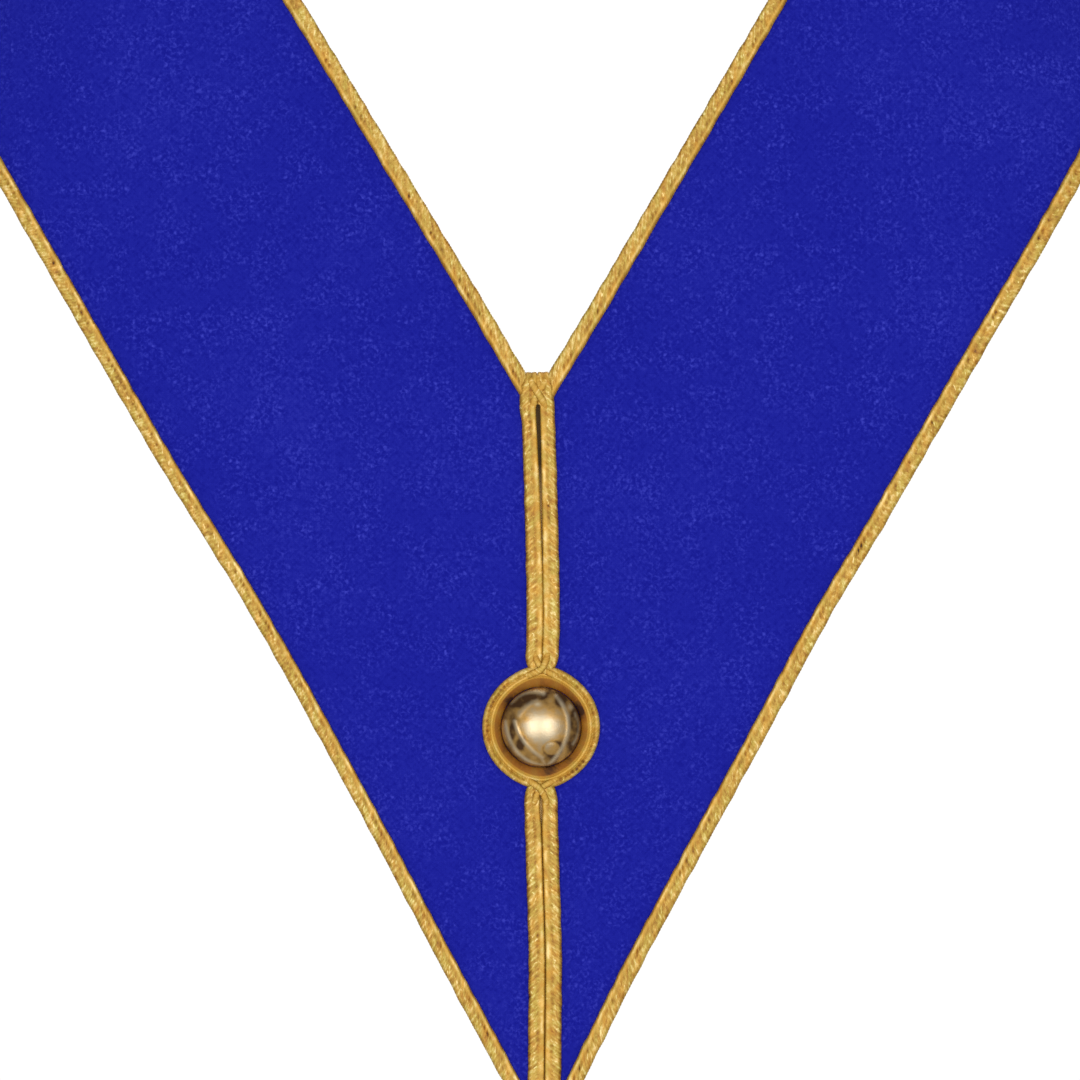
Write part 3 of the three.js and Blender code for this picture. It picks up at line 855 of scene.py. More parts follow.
@dataclass(frozen=True)
class HandLay:
    """The small ways in which the collar, sewn by hand, strays from its straight cut.

    The seam rows are moves to the right, and the edge rows are moves outwards.
    """

    cut: CollarCut
    seam: tuple[Stray, ...] = strays(
        (-224, 0.0), (-199, 0.3), (-165, 0.8), (-140, 0.15), (-118, -0.3), (-86, 0.1),
        (-74, 0.9), (-50, 0.7), (-22, 0.1), (-4, -0.5), (20, 0.0),
    )
    left_edge: tuple[Stray, ...] = strays(
        (-195, 0.0), (-155, -0.7), (-135, -1.2), (-85, -1.4), (-50, -0.5), (-25, 0.15),
        (10, -0.3), (50, -1.05), (80, -1.05), (150, 0.0),
    )
    right_edge: tuple[Stray, ...] = strays(
        (-224, 0.0), (-199, -0.6), (-173, -1.2), (-135, -0.9), (-105, -0.35), (-72, -0.3),
        (-50, 0.75), (10, 0.85), (30, 1.15), (80, 0.8), (150, 0.0),
    )
    smoothing: float = 8 * MM
    seam_reach: tuple[float, float] = (5.2 * MM, 26 * MM)
    seam_hold: float = 12 * MM

    def _between(self, rows: tuple[Stray, ...], up: Array) -> Array:
        """The rows' moves at heights, smoothed by the mean of several readings round each height.

        Args:
            rows: the strays in order of height.
            up: heights on the flat cloth.

        Returns:
            The moves.
        """
        ups, moves = [row.up for row in rows], [row.by for row in rows]
        offsets = np.linspace(-self.smoothing, self.smoothing, 7)
        return np.mean([np.interp(up + offset, ups, moves) for offset in offsets], axis=0)

    def seam_move(self, up: Array, side: Side) -> Array:
        """The seam's move at heights, away from the middle on that side."""
        return self._between(self.seam, up) * side.value

    def moved(self, points: Array, side: Side) -> Array:
        """Moves flat points of one arm from the straight cut to where they were sewn.

        A point moves with the seam the more, the nearer it is to it, and with the outer edge the more,
        the farther it is from the inner one. At the seam the outer edge doesn't count, so that the arms
        stay joined.

        Args:
            points: flat points of the arm, (..., 2).
            side: the arm.

        Returns:
            The moved points.
        """
        x, up = points[..., 0], points[..., 1]
        near, far = self.seam_reach
        beside_seam = 1 - eased((np.abs(x) - near) / (far - near))
        edge = self.cut.outer_upper_edge
        normal = np.array([edge.direction[1], -edge.direction[0]])
        inside = np.clip(-(points - np.array(edge.point)) @ normal / self.cut.ribbon_width, 0.0, 1.0)
        rows = self.left_edge if side is Side.LEFT else self.right_edge
        outward = self._between(rows, up) * (1 - eased(inside))
        outward = outward * eased(np.abs(x) / self.seam_hold)
        across = self.seam_move(up, side) * beside_seam
        return points + normal * outward[..., None] + np.stack([across, np.zeros_like(across)], axis=-1)


class SmoothCord(Enum):
    """Which of a braid's two cords is the smooth one, as a sign of its place across the braid."""

    OUTER = -1.0
    INNER = 1.0


@dataclass(frozen=True)
class BraidPlait:
    """The surface of the gold braid: a smooth and a speckled cord side by side, with pits between them."""

    height: float = 1.4 * MM
    outer_shoulder: float = 0.22
    inner_shoulder: float = 0.14
    inner_base: float = 0.0
    groove_offset: float = 0.1
    thread_pitch: float = 0.95 * MM
    thread_slant: float = 4.6 * MM
    thread_relief: float = 0.11 * MM
    pit_pitch: float = 1.75 * MM
    pit_length: float = 0.5 * MM
    pit_share: float = 0.085
    pit_depth: float = 0.28 * MM
    groove_depth: float = 0.2 * MM
    groove_share: float = 0.055
    # How much painted shade darkens the pits, the groove and the threads' sides, the threads' random tone,
    # and the strength of the painted gleam.
    pit_shade: float = 0.52
    groove_shade: float = 0.12
    thread_shading: float = 0.15
    tone_paint: float = 0.13
    gleam_paint: float = 0.26
    gleam_offset: float = 0.33
    gleam_share: float = 0.07
    step: float = 0.25 * MM
    columns: int = 23
    under_columns: int = 3

    @property
    def across(self) -> Array:
        """Shares of the width round the section: over the top from the outer side, and back under.

        Returns:
            The shares, one for each column.
        """
        top = (1 - np.cos(np.linspace(0.0, np.pi, self.columns))) / 2
        under = np.linspace(1.0, 0.0, self.under_columns + 2)[1:-1]
        return np.concatenate([top, under])

    def _threads(self, run: Array, from_groove: Array, seed: int) -> tuple[Array, Array]:
        """Slanting threads: how far up its thread each place is, and each one's own tone, -1 to 1.

        Args:
            run: length along the braid.
            from_groove: distance from the groove, as a share of the width.
            seed: sets the threads' tones.

        Returns:
            The height on the thread, and the tone.
        """
        phase = (run - np.abs(from_groove) * self.thread_slant) / self.thread_pitch
        tones = np.random.default_rng(seed).uniform(-1.0, 1.0, 997)
        return np.sin(np.pi * phase) ** 2, tones[np.floor(phase).astype(int) % len(tones)]

    def _pits(self, run: Array, from_groove: Array, seed: int) -> Array:
        """A row of pits in the groove, each a rounded dip with its own small shift and depth.

        Args:
            run: length along the braid.
            from_groove: distance from the groove, as a share of the width.
            seed: sets the pits' places and depths.

        Returns:
            Depths from 0 to 1.
        """
        number = np.floor(run / self.pit_pitch).astype(int)
        chance = np.random.default_rng(seed).uniform(0.0, 1.0, (2, 499))[:, number % 499]
        centre = (number + 0.5 + 0.3 * (chance[0] - 0.5)) * self.pit_pitch
        depth = np.clip(1.5 * chance[1] - 0.35, 0.0, 1.0)
        return depth * bell(run - centre, self.pit_length) * bell(from_groove, self.pit_share)

    def surface(
        self, along: Array, seed: int, smooth: SmoothCord, shaded: tuple[float, float] = (0.3, 0.08)
    ) -> dict[str, Array]:
        """Height of the braid over what it lies on, and what is painted on it.

        The section is a plateau with quarter-round shoulders and a shallow groove. Slanting threads cross
        the speckled cord, and pits lie in the groove where the plait shows. The painted value puts painted
        shade in the pits, the groove and on the shoulders, and painted highlights along the smooth cord.

        Args:
            along: length along the braid at each row, (rows,).
            seed: sets how the plait varies.
            smooth: which cord is the smooth one, and the narrower.
            shaded: how much painted shade darkens the outer and the inner shoulder against the middle.

        Returns:
            Heights in metres under "height", and "relief" and "smooth" from 0 to 1, each (rows, columns).
        """
        share = self.across[None, : self.columns]
        run = (along + 0.4 * self.pit_pitch * wander(along, 17 * MM, seed))[:, None]
        outer_rise = np.clip(share / self.outer_shoulder, 0.0, 1.0)
        inner_rise = np.clip(self.inner_base + (1 - share) / self.inner_shoulder, 0.0, 1.0)
        plateau = (1 - (1 - np.minimum(outer_rise, inner_rise)) ** 2) ** 0.6
        from_groove = share - 0.5 - self.groove_offset * smooth.value
        evenness = eased(0.5 + from_groove * smooth.value * 7.0) * np.ones_like(run)
        thread, tone = self._threads(run, from_groove, seed + 3)
        shown = np.clip(0.65 + 1.0 * wander(along, 21 * MM, seed + 2), 0.3, 1.0)[:, None]
        pit = self._pits(run, from_groove, seed + 4) * shown
        groove = bell(from_groove, self.groove_share) * (0.4 + 0.6 * shown)
        rough = 1 - 0.8 * evenness
        height = self.height * plateau - self.groove_depth * groove - self.pit_depth * pit
        height = height + self.thread_relief * rough * plateau * (thread - 0.6 + 0.4 * tone)
        height = np.maximum(height, 0.1 * self.height)
        # Painted highlights along the smooth cord: streaks, and gleams beside its crest.
        highlight_streak = 0.12 * wander(along, 9 * MM, seed + 8)[:, None]
        gleam = np.clip(2 * wander(along, 13 * MM, seed + 9) - 0.2, 0.0, 1.0)[:, None]
        gleam = gleam * bell(share - 0.5 - self.gleam_offset * smooth.value, self.gleam_share)
        # Painted shade in the pits, the groove, between the threads and on the shoulders, painted light on
        # the threads' rises and the smooth cord, and a random tone for each thread.
        light_and_tone = 0.56 + (0.05 + highlight_streak) * evenness - self.pit_shade * pit - self.groove_shade * groove
        speckle = self.thread_shading * (thread - 0.5) + self.tone_paint * tone
        light_and_tone = light_and_tone + rough * speckle + self.gleam_paint * gleam
        light_and_tone = light_and_tone - shaded[0] * (1 - outer_rise) ** 1.2 - shaded[1] * (1 - inner_rise) ** 1.6
        under = np.zeros((len(along), self.under_columns))
        painted = {"height": height, "light_and_tone": light_and_tone, "smooth": evenness}
        return {name: np.concatenate([values, under], axis=1) for name, values in painted.items()}

    def coordinates(self, along: Array, width: float, seed: int) -> Array:
        """The braid's UV map in millimetres: length from a start of its own, and distance round it.

        Args:
            along: length along the braid at each row.
            width: the braid's width.
            seed: sets where the map starts.

        Returns:
            The map, (rows, columns, 2).
        """
        round_it = np.concatenate([self.across[: self.columns], 1.2 + 0.2 * np.arange(self.under_columns)])
        grid = np.broadcast_arrays(along[:, None] / MM + 61.0 * seed, round_it[None, :] * width / MM)
        return np.stack(grid, axis=-1)


def finish_piece(made: bpy.types.Object, slot: str, *nodes: str) -> bpy.types.Object:
    """Rides a piece on the collar's body, hides the nodes that it stands for, and reports it with its slot.

    Args:
        made: the piece.
        slot: the record's material slot.
        nodes: the replaced nodes.

    Returns:
        The piece.
    """
    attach(made, "root")
    if nodes:
        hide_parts(*nodes)
    REPORT.info("%s: %d faces, %s", made.name, len(made.data.polygons), slot)
    return made


@dataclass(frozen=True)
class RibbonArms:
    """The two arms of ribbon cloth, from the front seam over the shoulders to the back seam."""

    cut: CollarCut
    lay: HandLay
    finish: RibbonCloth = RibbonCloth()
    row_step: float = 1.7 * MM
    face_columns: int = 60
    seam_gap: float = -0.02 * MM
    side_shift: float = 300.0
    seam_rows: tuple[float, ...] = (2.4 * MM, 1.4 * MM, 0.8 * MM, 0.4 * MM, 0.15 * MM)
    edge_rounding: float = 0.8 * MM
    wave_height: float = 0.22 * MM
    sewn_width: float = 2.2 * MM
    sewn_depth: float = 0.1 * MM
    seam_width: float = 0.9 * MM
    seam_depth: float = 0.5 * MM
    slit_shade_width: float = 1.4 * MM
    slit_fade: float = 0.8 * MM
    notch_inset: float = 1.9 * MM

    def strip(self) -> Strip:
        """The rows of the cloth.

        Returns:
            The strip.
        """
        cut = self.cut
        seam = FlatLine.upright(self.seam_gap / 2)
        lines = [edge.moved_right(-cut.edge_inset) for edge in (cut.outer_lower_edge, cut.outer_upper_edge)]
        inner = [FlatLine.level(-self.notch_inset), cut.inner_edge.moved_right(cut.edge_inset)]
        front = [seam, seam]
        return Strip.along_arm(cut, lines, inner, front, self.row_step, self.seam_gap, self.seam_rows)

    def surface(self, side: Side, seed: int) -> SurfaceMesh:
        """The closed wall: its face, a rounded rim, its back and the other rim.

        The columns crowd towards both edges. The face rises and falls a little in long waves, sinks where
        the edge braids are sewn down, and dips at the back seam.

        Args:
            side: the arm.
            seed: sets the waves.

        Returns:
            The surface.
        """
        cut, strip = self.cut, self.strip()
        across = (1 - np.cos(np.linspace(0.0, np.pi, self.face_columns))) / 2
        rows = len(strip.outer)
        width = np.linalg.norm(strip.outer - strip.inner, axis=1)[:, None]
        from_edge = np.minimum(across, 1 - across)[None, :] * width
        along = strip.along[:, None]
        waves = wander(along + 0.6 * across[None, :] * width, 150 * MM, seed)
        waves = waves + 0.5 * wander(along - 0.9 * across[None, :] * width, 47 * MM, seed + 1)
        sewn = bell(from_edge - cut.braid_width, self.sewn_width)
        rounding = np.clip(1 - from_edge / self.edge_rounding, 0.0, 1.0) ** 2
        flat = strip.points(across)
        seam = cut.back_seam(0.0)
        normal = np.array([-seam.direction[1], seam.direction[0]])
        from_back = np.abs((flat - np.array(seam.point)) @ normal)
        dip = bell(from_back, self.seam_width)
        inside = np.clip((from_edge - cut.braid_width) / (6 * MM), 0.0, 1.0)
        half = cut.ribbon_thickness / 2
        face = -self.wave_height * (0.6 + 0.4 * waves) * inside - self.sewn_depth * sewn
        face = face - half * 0.5 * rounding - self.seam_depth * dip
        back = face * 0.4 - cut.ribbon_thickness + half * 0.9 * rounding + self.seam_depth * dip
        laid = self.lay.moved(flat, side)
        points = np.concatenate([cut.wrap(laid, face), cut.wrap(laid[:, ::-1], back[:, ::-1])], axis=1)
        shift = self.side_shift * (side is Side.RIGHT)
        uv = np.concatenate([flat, flat[:, ::-1]], axis=1) / MM + [shift, 0.0]
        # Marks the "seam" band along the front seam, where the cloth gets painted shade in the slit between
        # the front braids.
        from_seam = np.abs(flat[..., 0]) - self.slit_shade_width
        front = np.clip(1 - from_seam / self.slit_fade, 0.0, 1.0)
        slit_shade_paint = np.concatenate([front, np.zeros((rows, self.face_columns))], axis=1)
        return SurfaceMesh(points, uv, {"seam": slit_shade_paint})

    def build(self) -> list[bpy.types.Object]:
        """Returns:
            The two pieces.
        """
        material = self.finish.build()
        strip = self.strip()
        made = []
        for number, side in enumerate(Side):
            word = side.name.lower()
            piece = self.surface(side, 11 + number).build(f"ribbon_cloth_{word}", side, material)
            finish_piece(piece, "ribbon_cloth", f"ribbon_{word}")
            made.append(piece)
        return made

    @staticmethod
    def _area(strip: Strip) -> float:
        """Area of the flat cut: the sum of the quads between its rows, by the shoelace formula.

        Args:
            strip: the cloth's rows.

        Returns:
            The area in square metres.
        """
        ring = np.concatenate([strip.outer, strip.inner[::-1]])
        turned = np.roll(ring, -1, axis=0)
        return abs((ring[:, 0] * turned[:, 1] - ring[:, 1] * turned[:, 0]).sum()) / 2


@dataclass(frozen=True)
class EdgeBraids:
    """The braids on the outer and the inner edges of both arms."""

    cut: CollarCut
    lay: HandLay
    plait: BraidPlait
    material: Material
    seam_gap: float = 0.1 * MM
    wobble: float = 0.14 * MM
    serration: float = 0.05 * MM
    front_cut: float = 3.0 * MM
    left_width: float = 4.4 * MM
    edge_shade: float = 0.04
    cloth_shade: float = 0.26

    def surface(self, strip: Strip, side: Side, seed: int, smooth: SmoothCord) -> SurfaceMesh:
        """The braid's closed surface along a strip, whose sides wander and are notched thread by thread.

        Args:
            strip: the braid's rows.
            side: the arm.
            seed: sets how the braid varies.
            smooth: which of its cords is the smooth one.

        Returns:
            The surface.
        """
        along = strip.along
        shaded = (self.edge_shade, self.cloth_shade)
        if smooth is SmoothCord.OUTER:
            shaded = shaded[::-1]
        painted = self.plait.surface(along, seed, smooth, shaded)
        width = self.cut.braid_width
        top = self.plait.across[None, :]
        notches = self.serration * np.sin(2 * np.pi * along / self.plait.thread_pitch)[:, None]
        outward = (wander(along, 11 * MM, seed + 5)[:, None] * self.wobble + notches) / width
        inward = (wander(along, 8 * MM, seed + 6)[:, None] * self.wobble + notches) / width
        share = top + outward * (1 - top) + inward * top
        laid = self.lay.moved(strip.points(share), side)
        points = self.cut.wrap(laid, painted.pop("height") + self.cut.lay_gap)
        return SurfaceMesh(points, self.plait.coordinates(along, width, seed), painted)

    def outer_strip(self, width: float) -> Strip:
        """The strip along the outer edge, from the point to the back seam, of a width.

        Args:
            width: the strip's width.

        Returns:
            The strip.
        """
        cut = self.cut
        edges = [cut.outer_lower_edge, cut.outer_upper_edge]
        seam = FlatLine.upright(self.seam_gap / 2)
        inner = [line.moved_right(-width) for line in edges]
        return Strip.along_arm(cut, edges, inner, [seam, seam], self.plait.step, self.seam_gap)

    def inner_strip(self) -> Strip:
        """The strip along the inner edge, from under the side of the front braids to the back seam.

        Returns:
            The strip.
        """
        cut = self.cut
        side = FlatLine.upright(self.front_cut)
        outer = [cut.inner_edge.moved_right(cut.braid_width)]
        return Strip.along_arm(cut, outer, [cut.inner_edge], [side, side], self.plait.step, self.seam_gap)

    def build(self) -> list[bpy.types.Object]:
        """Builds the four braids, each with its smooth cord beside the cloth.

        Returns:
            The four pieces.
        """
        made = []
        for place, side, strip, smooth in (
            ("outer", Side.LEFT, self.outer_strip(self.left_width), SmoothCord.INNER),
            ("outer", Side.RIGHT, self.outer_strip(self.cut.braid_width), SmoothCord.INNER),
            ("inner", Side.LEFT, self.inner_strip(), SmoothCord.OUTER),
            ("inner", Side.RIGHT, self.inner_strip(), SmoothCord.OUTER),
        ):
            surface = self.surface(strip, side, 20 + 10 * len(made), smooth)
            piece = surface.build(f"{place}_plait_{side.name.lower()}", side, self.material)
            made.append(finish_piece(piece, "gold_braid", f"{place}_braid_{side.name.lower()}"))
        return made


@dataclass(frozen=True)
class FrontBraids:
    """The braids beside the front seam, above and below the ring."""

    cut: CollarCut
    lay: HandLay
    plait: BraidPlait
    material: Material
    gap: float = 0.04 * MM
    lower_gap: float = 0.12 * MM
    side_inset: float = 0.06 * MM
    outer_shade: float = 0.3
    upper_shade: float = 0.08
    lower_shade: float = 0.46
    slit_width: float = 1.25 * MM
    slit_start: float = 9.2 * MM
    slit_length: float = 47.0 * MM
    slit_opening: float = 0.3 * MM
    lower_slit: tuple[float, float] = (119.5 * MM, 129.0 * MM)
    lower_slit_width: float = 0.7 * MM
    neck_length: float = 5.0 * MM
    neck_half_width: float = 3.1 * MM
    top_draw: float = 0.9 * MM
    top_lift: float = 0.3 * MM
    left_swell: float = 0.45 * MM
    fold_radius: float = 1.25 * MM
    fold_drop: float = 1.35 * MM
    fold_tail: float = 5.0 * MM

    def _sides(self, z: Array, ring_end: float, upper: bool) -> tuple[Array, Array]:
        """Distances from the seam of a front braid's outer and inner side at heights z.

        The outer side draws in round towards the ring. The inner side leaves the open slit, which opens
        at once, closes slowly downwards, and opens again a little below the ring.

        Args:
            z: heights on the flat cloth.
            ring_end: the height at which the braid meets the ring.
            upper: whether the braid is the one above the ring.

        Returns:
            The outer and the inner distances.
        """
        full = self.cut.braid_width + self.gap / 2 - self.side_inset
        near = np.clip(1 - np.abs(z - ring_end) / self.neck_length, 0.0, 1.0)
        outer = full - (full - self.neck_half_width) * (1 - np.sqrt(1 - near**2))
        if upper:
            closed = np.clip(1 - (-z - self.slit_start) / self.slit_length, 0.0, 1.0) ** 0.95
            opened = eased((-z - self.slit_start) / self.slit_opening)
            slit = (self.slit_width - self.gap) / 2 * closed * opened
            inner = self.gap / 2 * eased((-z - 1.0 * MM) / (4 * MM)) + slit
            outer = outer - self.top_draw * bell(z + self.fold_drop, 2.0 * MM)
        else:
            start, stop = self.lower_slit
            share = np.clip((-z - start) / (stop - start), 0.0, 1.0)
            opened = np.sin(np.pi * share) ** 0.7
            inner = self.lower_gap / 2 + (self.lower_slit_width - self.lower_gap) / 2 * opened
        return outer, inner + 0.01 * MM

    def upper_surface(self, side: Side, seed: int) -> SurfaceMesh:
        """The braid from behind the notch, over its edge and down to the ring.

        The path is a straight tail behind the cloth, a half circle over the notch, and a straight run
        down. The left braid swells a little below the notch.

        Args:
            side: the arm that it belongs to.
            seed: sets how the plait varies.

        Returns:
            The surface.
        """
        cut = self.cut
        end = -cut.button_drop + cut.button_radius + cut.ring_clearance + cut.braid_width - 0.4 * MM
        arc = np.pi * self.fold_radius
        middle = -self.fold_radius - self.fold_drop
        run = np.arange(0.0, self.fold_tail + arc + middle - end, self.plait.step)
        turn = np.clip((run - self.fold_tail) / self.fold_radius, 0.0, np.pi)
        z = middle - np.clip(self.fold_tail - run, 0.0, None) + self.fold_radius * np.sin(turn)
        z = z - np.clip(run - self.fold_tail - arc, 0.0, None)
        lift = self.top_lift * bell(z - middle, 6 * MM) * np.clip(-np.cos(turn), 0.0, 1.0)
        depth = cut.ribbon_thickness / 2 + self.fold_radius * np.cos(turn) - lift
        outer, inner = self._sides(z, end, True)
        swell = self.left_swell * bell(z + 8.5 * MM, 4.5 * MM) if side is Side.LEFT else 0.0
        path = np.stack([z, depth, turn], axis=-1)
        return self._surface(run, path, outer + swell, inner, side, seed, self.upper_shade)

    def lower_surface(self, side: Side, seed: int) -> SurfaceMesh:
        """The braid from the ring down to the outer braids, whose inner sides cut it off.

        Args:
            side: the arm that it belongs to.
            seed: sets how the plait varies.

        Returns:
            The surface.
        """
        cut = self.cut
        start = -cut.button_drop - cut.button_radius - cut.ring_clearance - cut.braid_width + 0.4 * MM
        stop = cut.outer_lower_edge.moved_right(-cut.braid_width)
        low = stop.crossing(FlatLine.upright(0.0))[1]
        run = np.arange(0.0, start - low - 1.0 * MM, self.plait.step)
        z = start - run
        outer, inner = self._sides(z, start, False)
        edge = np.array([stop.crossing(FlatLine.level(v))[0] for v in z]) - 0.1 * MM
        outer = np.minimum(outer, np.maximum(edge, inner + 0.3 * MM))
        depth = np.full_like(z, cut.ribbon_thickness / 2 - self.fold_radius)
        path = np.stack([z, depth, np.full_like(z, np.pi)], axis=-1)
        return self._surface(run, path, outer, inner, side, seed, self.lower_shade)

    def _surface(
        self, run: Array, path: Array, outer: Array, inner: Array, side: Side, seed: int, shade: float
    ) -> SurfaceMesh:
        """Carries the braid's section along an upright path in the plane of the front.

        Args:
            run: length along the path.
            path: at each row its height on the flat cloth, its distance behind the cloth's face, and the
                angle of its normal, from pi in front to 0 behind.
            outer: distance of its outer side from the seam.
            inner: distance of its inner side from the seam.
            side: the arm that it belongs to.
            seed: sets how the plait varies.
            shade: how much painted shade darkens its inner shoulder against its middle.

        Returns:
            The surface.
        """
        z, depth, turn = path.T
        painted = self.plait.surface(run, seed, SmoothCord.INNER, (self.outer_shade, shade))
        height = painted.pop("height")
        share = self.plait.across[None, :]
        outer = outer + 0.1 * MM * wander(run, 9 * MM, seed + 7)
        x = outer[:, None] * (1 - share) + inner[:, None] * share + self.lay.seam_move(z, side)[:, None]
        y = depth[:, None] + np.cos(turn)[:, None] * height
        up = z[:, None] + np.sin(turn)[:, None] * height
        points = np.stack([x, y, up], axis=-1) - self.cut.nape
        return SurfaceMesh(points, self.plait.coordinates(run, self.cut.braid_width, seed), painted)

    def build(self) -> list[bpy.types.Object]:
        """Builds the four front braids.

        Returns:
            The four pieces.
        """
        made = []
        for number, side in enumerate(Side):
            for place, surface in (
                ("upper", self.upper_surface(side, 60 + number)),
                ("lower", self.lower_surface(side, 70 + number)),
            ):
                word = side.name.lower()
                piece = surface.build(f"front_plait_{place}_{word}", side, self.material)
                made.append(finish_piece(piece, "gold_braid", f"centre_braid_{place}_{word}"))
        return made


@dataclass(frozen=True)
class RingCord:
    """One rounded cord of the ring: the radius of its middle, its half width and its height."""

    radius: float
    half_width: float
    height: float


@dataclass(frozen=True)
class ButtonRing:
    """The ring round the button: a dotted cord, a smooth cord, and a wall that slopes in to the button."""

    cut: CollarCut
    plait: BraidPlait
    material: Material
    dotted: RingCord = RingCord(15.72 * MM, 1.08 * MM, 1.6 * MM)
    smooth: RingCord = RingCord(14.1 * MM, 0.86 * MM, 1.55 * MM)
    wall_top: float = 1.25 * MM
    wall_foot: float = 0.2 * MM
    wall_reach: float = 2.0 * MM
    point_stretch: float = 0.85 * MM
    point_spread: float = 0.44
    dot_pitch: float = 1.35 * MM
    dot_depth: float = 0.3 * MM
    dot_inset: float = 0.25 * MM
    dot_half_width: float = 0.55 * MM
    # Painted shade in the dots, the channel, patches on the wall, the band's inner side and the wall's
    # foot.
    dot_shade: float = 0.58
    channel_half_width: float = 0.4 * MM
    channel_shade: float = 0.1
    wall_shade: float = 0.13
    inner_side_shade: float = 0.09
    foot_shade: float = 0.13
    wall_smoothness: float = 1.7
    cord_smoothness: float = 0.5
    outer_rounding: float = 0.5 * MM
    twist_depth: float = 0.035 * MM
    button_gap: float = 0.08 * MM
    columns: int = 40

    @property
    def outside(self) -> float:
        """The ring's outer radius."""
        return self.cut.button_radius + self.cut.ring_clearance + self.cut.braid_width

    @property
    def inside(self) -> float:
        """The ring's inner radius, just off the button."""
        return self.cut.button_radius + self.button_gap

    def _cord(self, cord: RingCord, radius: Array) -> Array:
        """Half-round height of a cord over the cloth at radii, none outside it."""
        return cord.height * np.sqrt(np.clip(1 - ((radius - cord.radius) / cord.half_width) ** 2, 0.0, 1.0))

    def _wall(self, radius: Array) -> Array:
        """How far up the wall places at radii are, from 0 at the button to 1."""
        return np.clip((radius - self.inside) / self.wall_reach, 0.0, 1.0)

    def _profile(self, radius: Array) -> Array:
        """Height over the cloth of the two cords and the wall, without dots and threads.

        The wall rises from the button to the smooth cord, and rounds down to the cloth at the outside.

        Args:
            radius: distances from the button's middle.

        Returns:
            The heights.
        """
        slope = self.wall_foot + (self.wall_top - self.wall_foot) * self._wall(radius) ** 0.8
        slope = np.where(radius < self.smooth.radius, slope, 0.5 * self.wall_top)
        slope = slope * np.sqrt(np.clip((self.outside - radius) / self.outer_rounding, 0.05, 1.0))
        cords = np.maximum(self._cord(self.dotted, radius), self._cord(self.smooth, radius))
        return np.maximum(cords, slope)

    def _dots(self, run: Array, off_row: Array) -> Array:
        """Dips along the outer cord, from 0 to 1, each with its own depth and small shift.

        Args:
            run: length round the ring.
            off_row: distance outwards from the row of dots.

        Returns:
            The depths.
        """
        phase = run / self.dot_pitch + 0.25 * wander(run, 19 * MM, 91)
        number = np.floor(phase).astype(int)
        chance = np.random.default_rng(92).uniform(0.0, 1.0, (2, 211))[:, number % 211]
        each = np.clip(1.4 * chance[0], 0.2, 1.0)
        shown = np.clip(0.75 + 0.7 * wander(run, 33 * MM, 93), 0.45, 1.0) * each
        off_dot = off_row + 0.3 * MM * (chance[1] - 0.5)
        return shown * np.exp(-(((phase - number - 0.5) * 2.2) ** 2)) * bell(off_dot, self.dot_half_width)

    def _light_and_tone(self, run: Array, radius: Array, dot: Array, twist: Array) -> Array:
        """Tone of the thread: painted highlight on the cords' crests, and painted shade in the dots,
        in the channel, on the band's inner side and down the wall, with a little random tone.

        Args:
            run: length round the ring.
            radius: distance from the button's middle.
            dot: the dots' depths.
            twist: the threads' wave, from -1 to 1.

        Returns:
            The tones.
        """
        dotted = self._cord(self.dotted, radius) / self.dotted.height
        crest = np.maximum(dotted, self._cord(self.smooth, radius) / self.smooth.height)
        band = radius > self.smooth.radius - self.smooth.half_width
        # Painted highlight on the cords' crests, and painted shade down the wall to its foot by the button.
        light_and_tone = np.where(band, 0.31 + 0.37 * crest**0.7, self.foot_shade + 0.09 * self._wall(radius) ** 2)
        light_and_tone = light_and_tone + 0.03 * twist * band + 0.08 * wander(run, 13 * MM, 94)
        channel = bell(radius - self.dotted.radius + self.dot_inset, self.channel_half_width)
        light_and_tone = light_and_tone - self.dot_shade * dot - self.channel_shade * channel
        light_and_tone = light_and_tone - self.wall_shade * ~band * np.clip(wander(run, 24 * MM, 95), -0.3, 1.0)
        light_and_tone = np.where(band, np.maximum(light_and_tone, self.foot_shade), light_and_tone)
        inner_side = eased((self.smooth.radius + 0.3 * MM - radius) / (0.8 * MM))
        return light_and_tone - self.inner_side_shade * band * inner_side

    def surface(self) -> SurfaceMesh:
        """The ring's closed skin: its profile turned round the button, drawn out at the top and the bottom.

        The radius grows by a bell curve of the angle from the upright, and more so farther out.

        Returns:
            The surface.
        """
        count = round(2 * np.pi * self.outside / self.plait.step)
        angle = (np.arange(count) * 2 * np.pi / count)[:, None]
        radius = np.linspace(self.outside, self.inside, self.columns)[None, :]
        run = angle * self.dotted.radius
        dot = self._dots(run, radius - self.dotted.radius + self.dot_inset)
        slanted = run + (radius - self.smooth.radius) * 1.2
        twist = np.sin(2 * np.pi * slanted / self.plait.thread_pitch)
        height = self._profile(radius) * np.ones_like(angle)
        height = height + self.twist_depth * twist * (height > 1.0 * MM) - self.dot_depth * dot
        top_angle = np.abs(np.mod(angle, np.pi))
        from_point = np.minimum(top_angle, np.pi - top_angle)
        stretch = self.point_stretch * bell(from_point, self.point_spread)
        reach = radius + stretch * np.clip((radius - self.inside) / self.wall_reach, 0.0, 1.0)
        points = self._turned(reach, angle, height)
        under = self._turned(reach[:, [-1, 0]], angle, np.zeros((count, 2)))
        within = radius < self.dotted.radius - self.dotted.half_width
        smoothness = np.where(within, self.wall_smoothness, self.cord_smoothness) * np.ones_like(angle)
        bare = np.zeros((count, 2))
        painted = {"light_and_tone": self._light_and_tone(run, radius, dot, twist), "smooth": smoothness}
        painted = {name: np.concatenate([values, bare], axis=1) for name, values in painted.items()}
        across = np.concatenate([radius[0], [self.inside, self.outside]])[None, :] * np.ones_like(angle)
        uv = np.stack([np.broadcast_to(run, across.shape), across], axis=-1) / MM
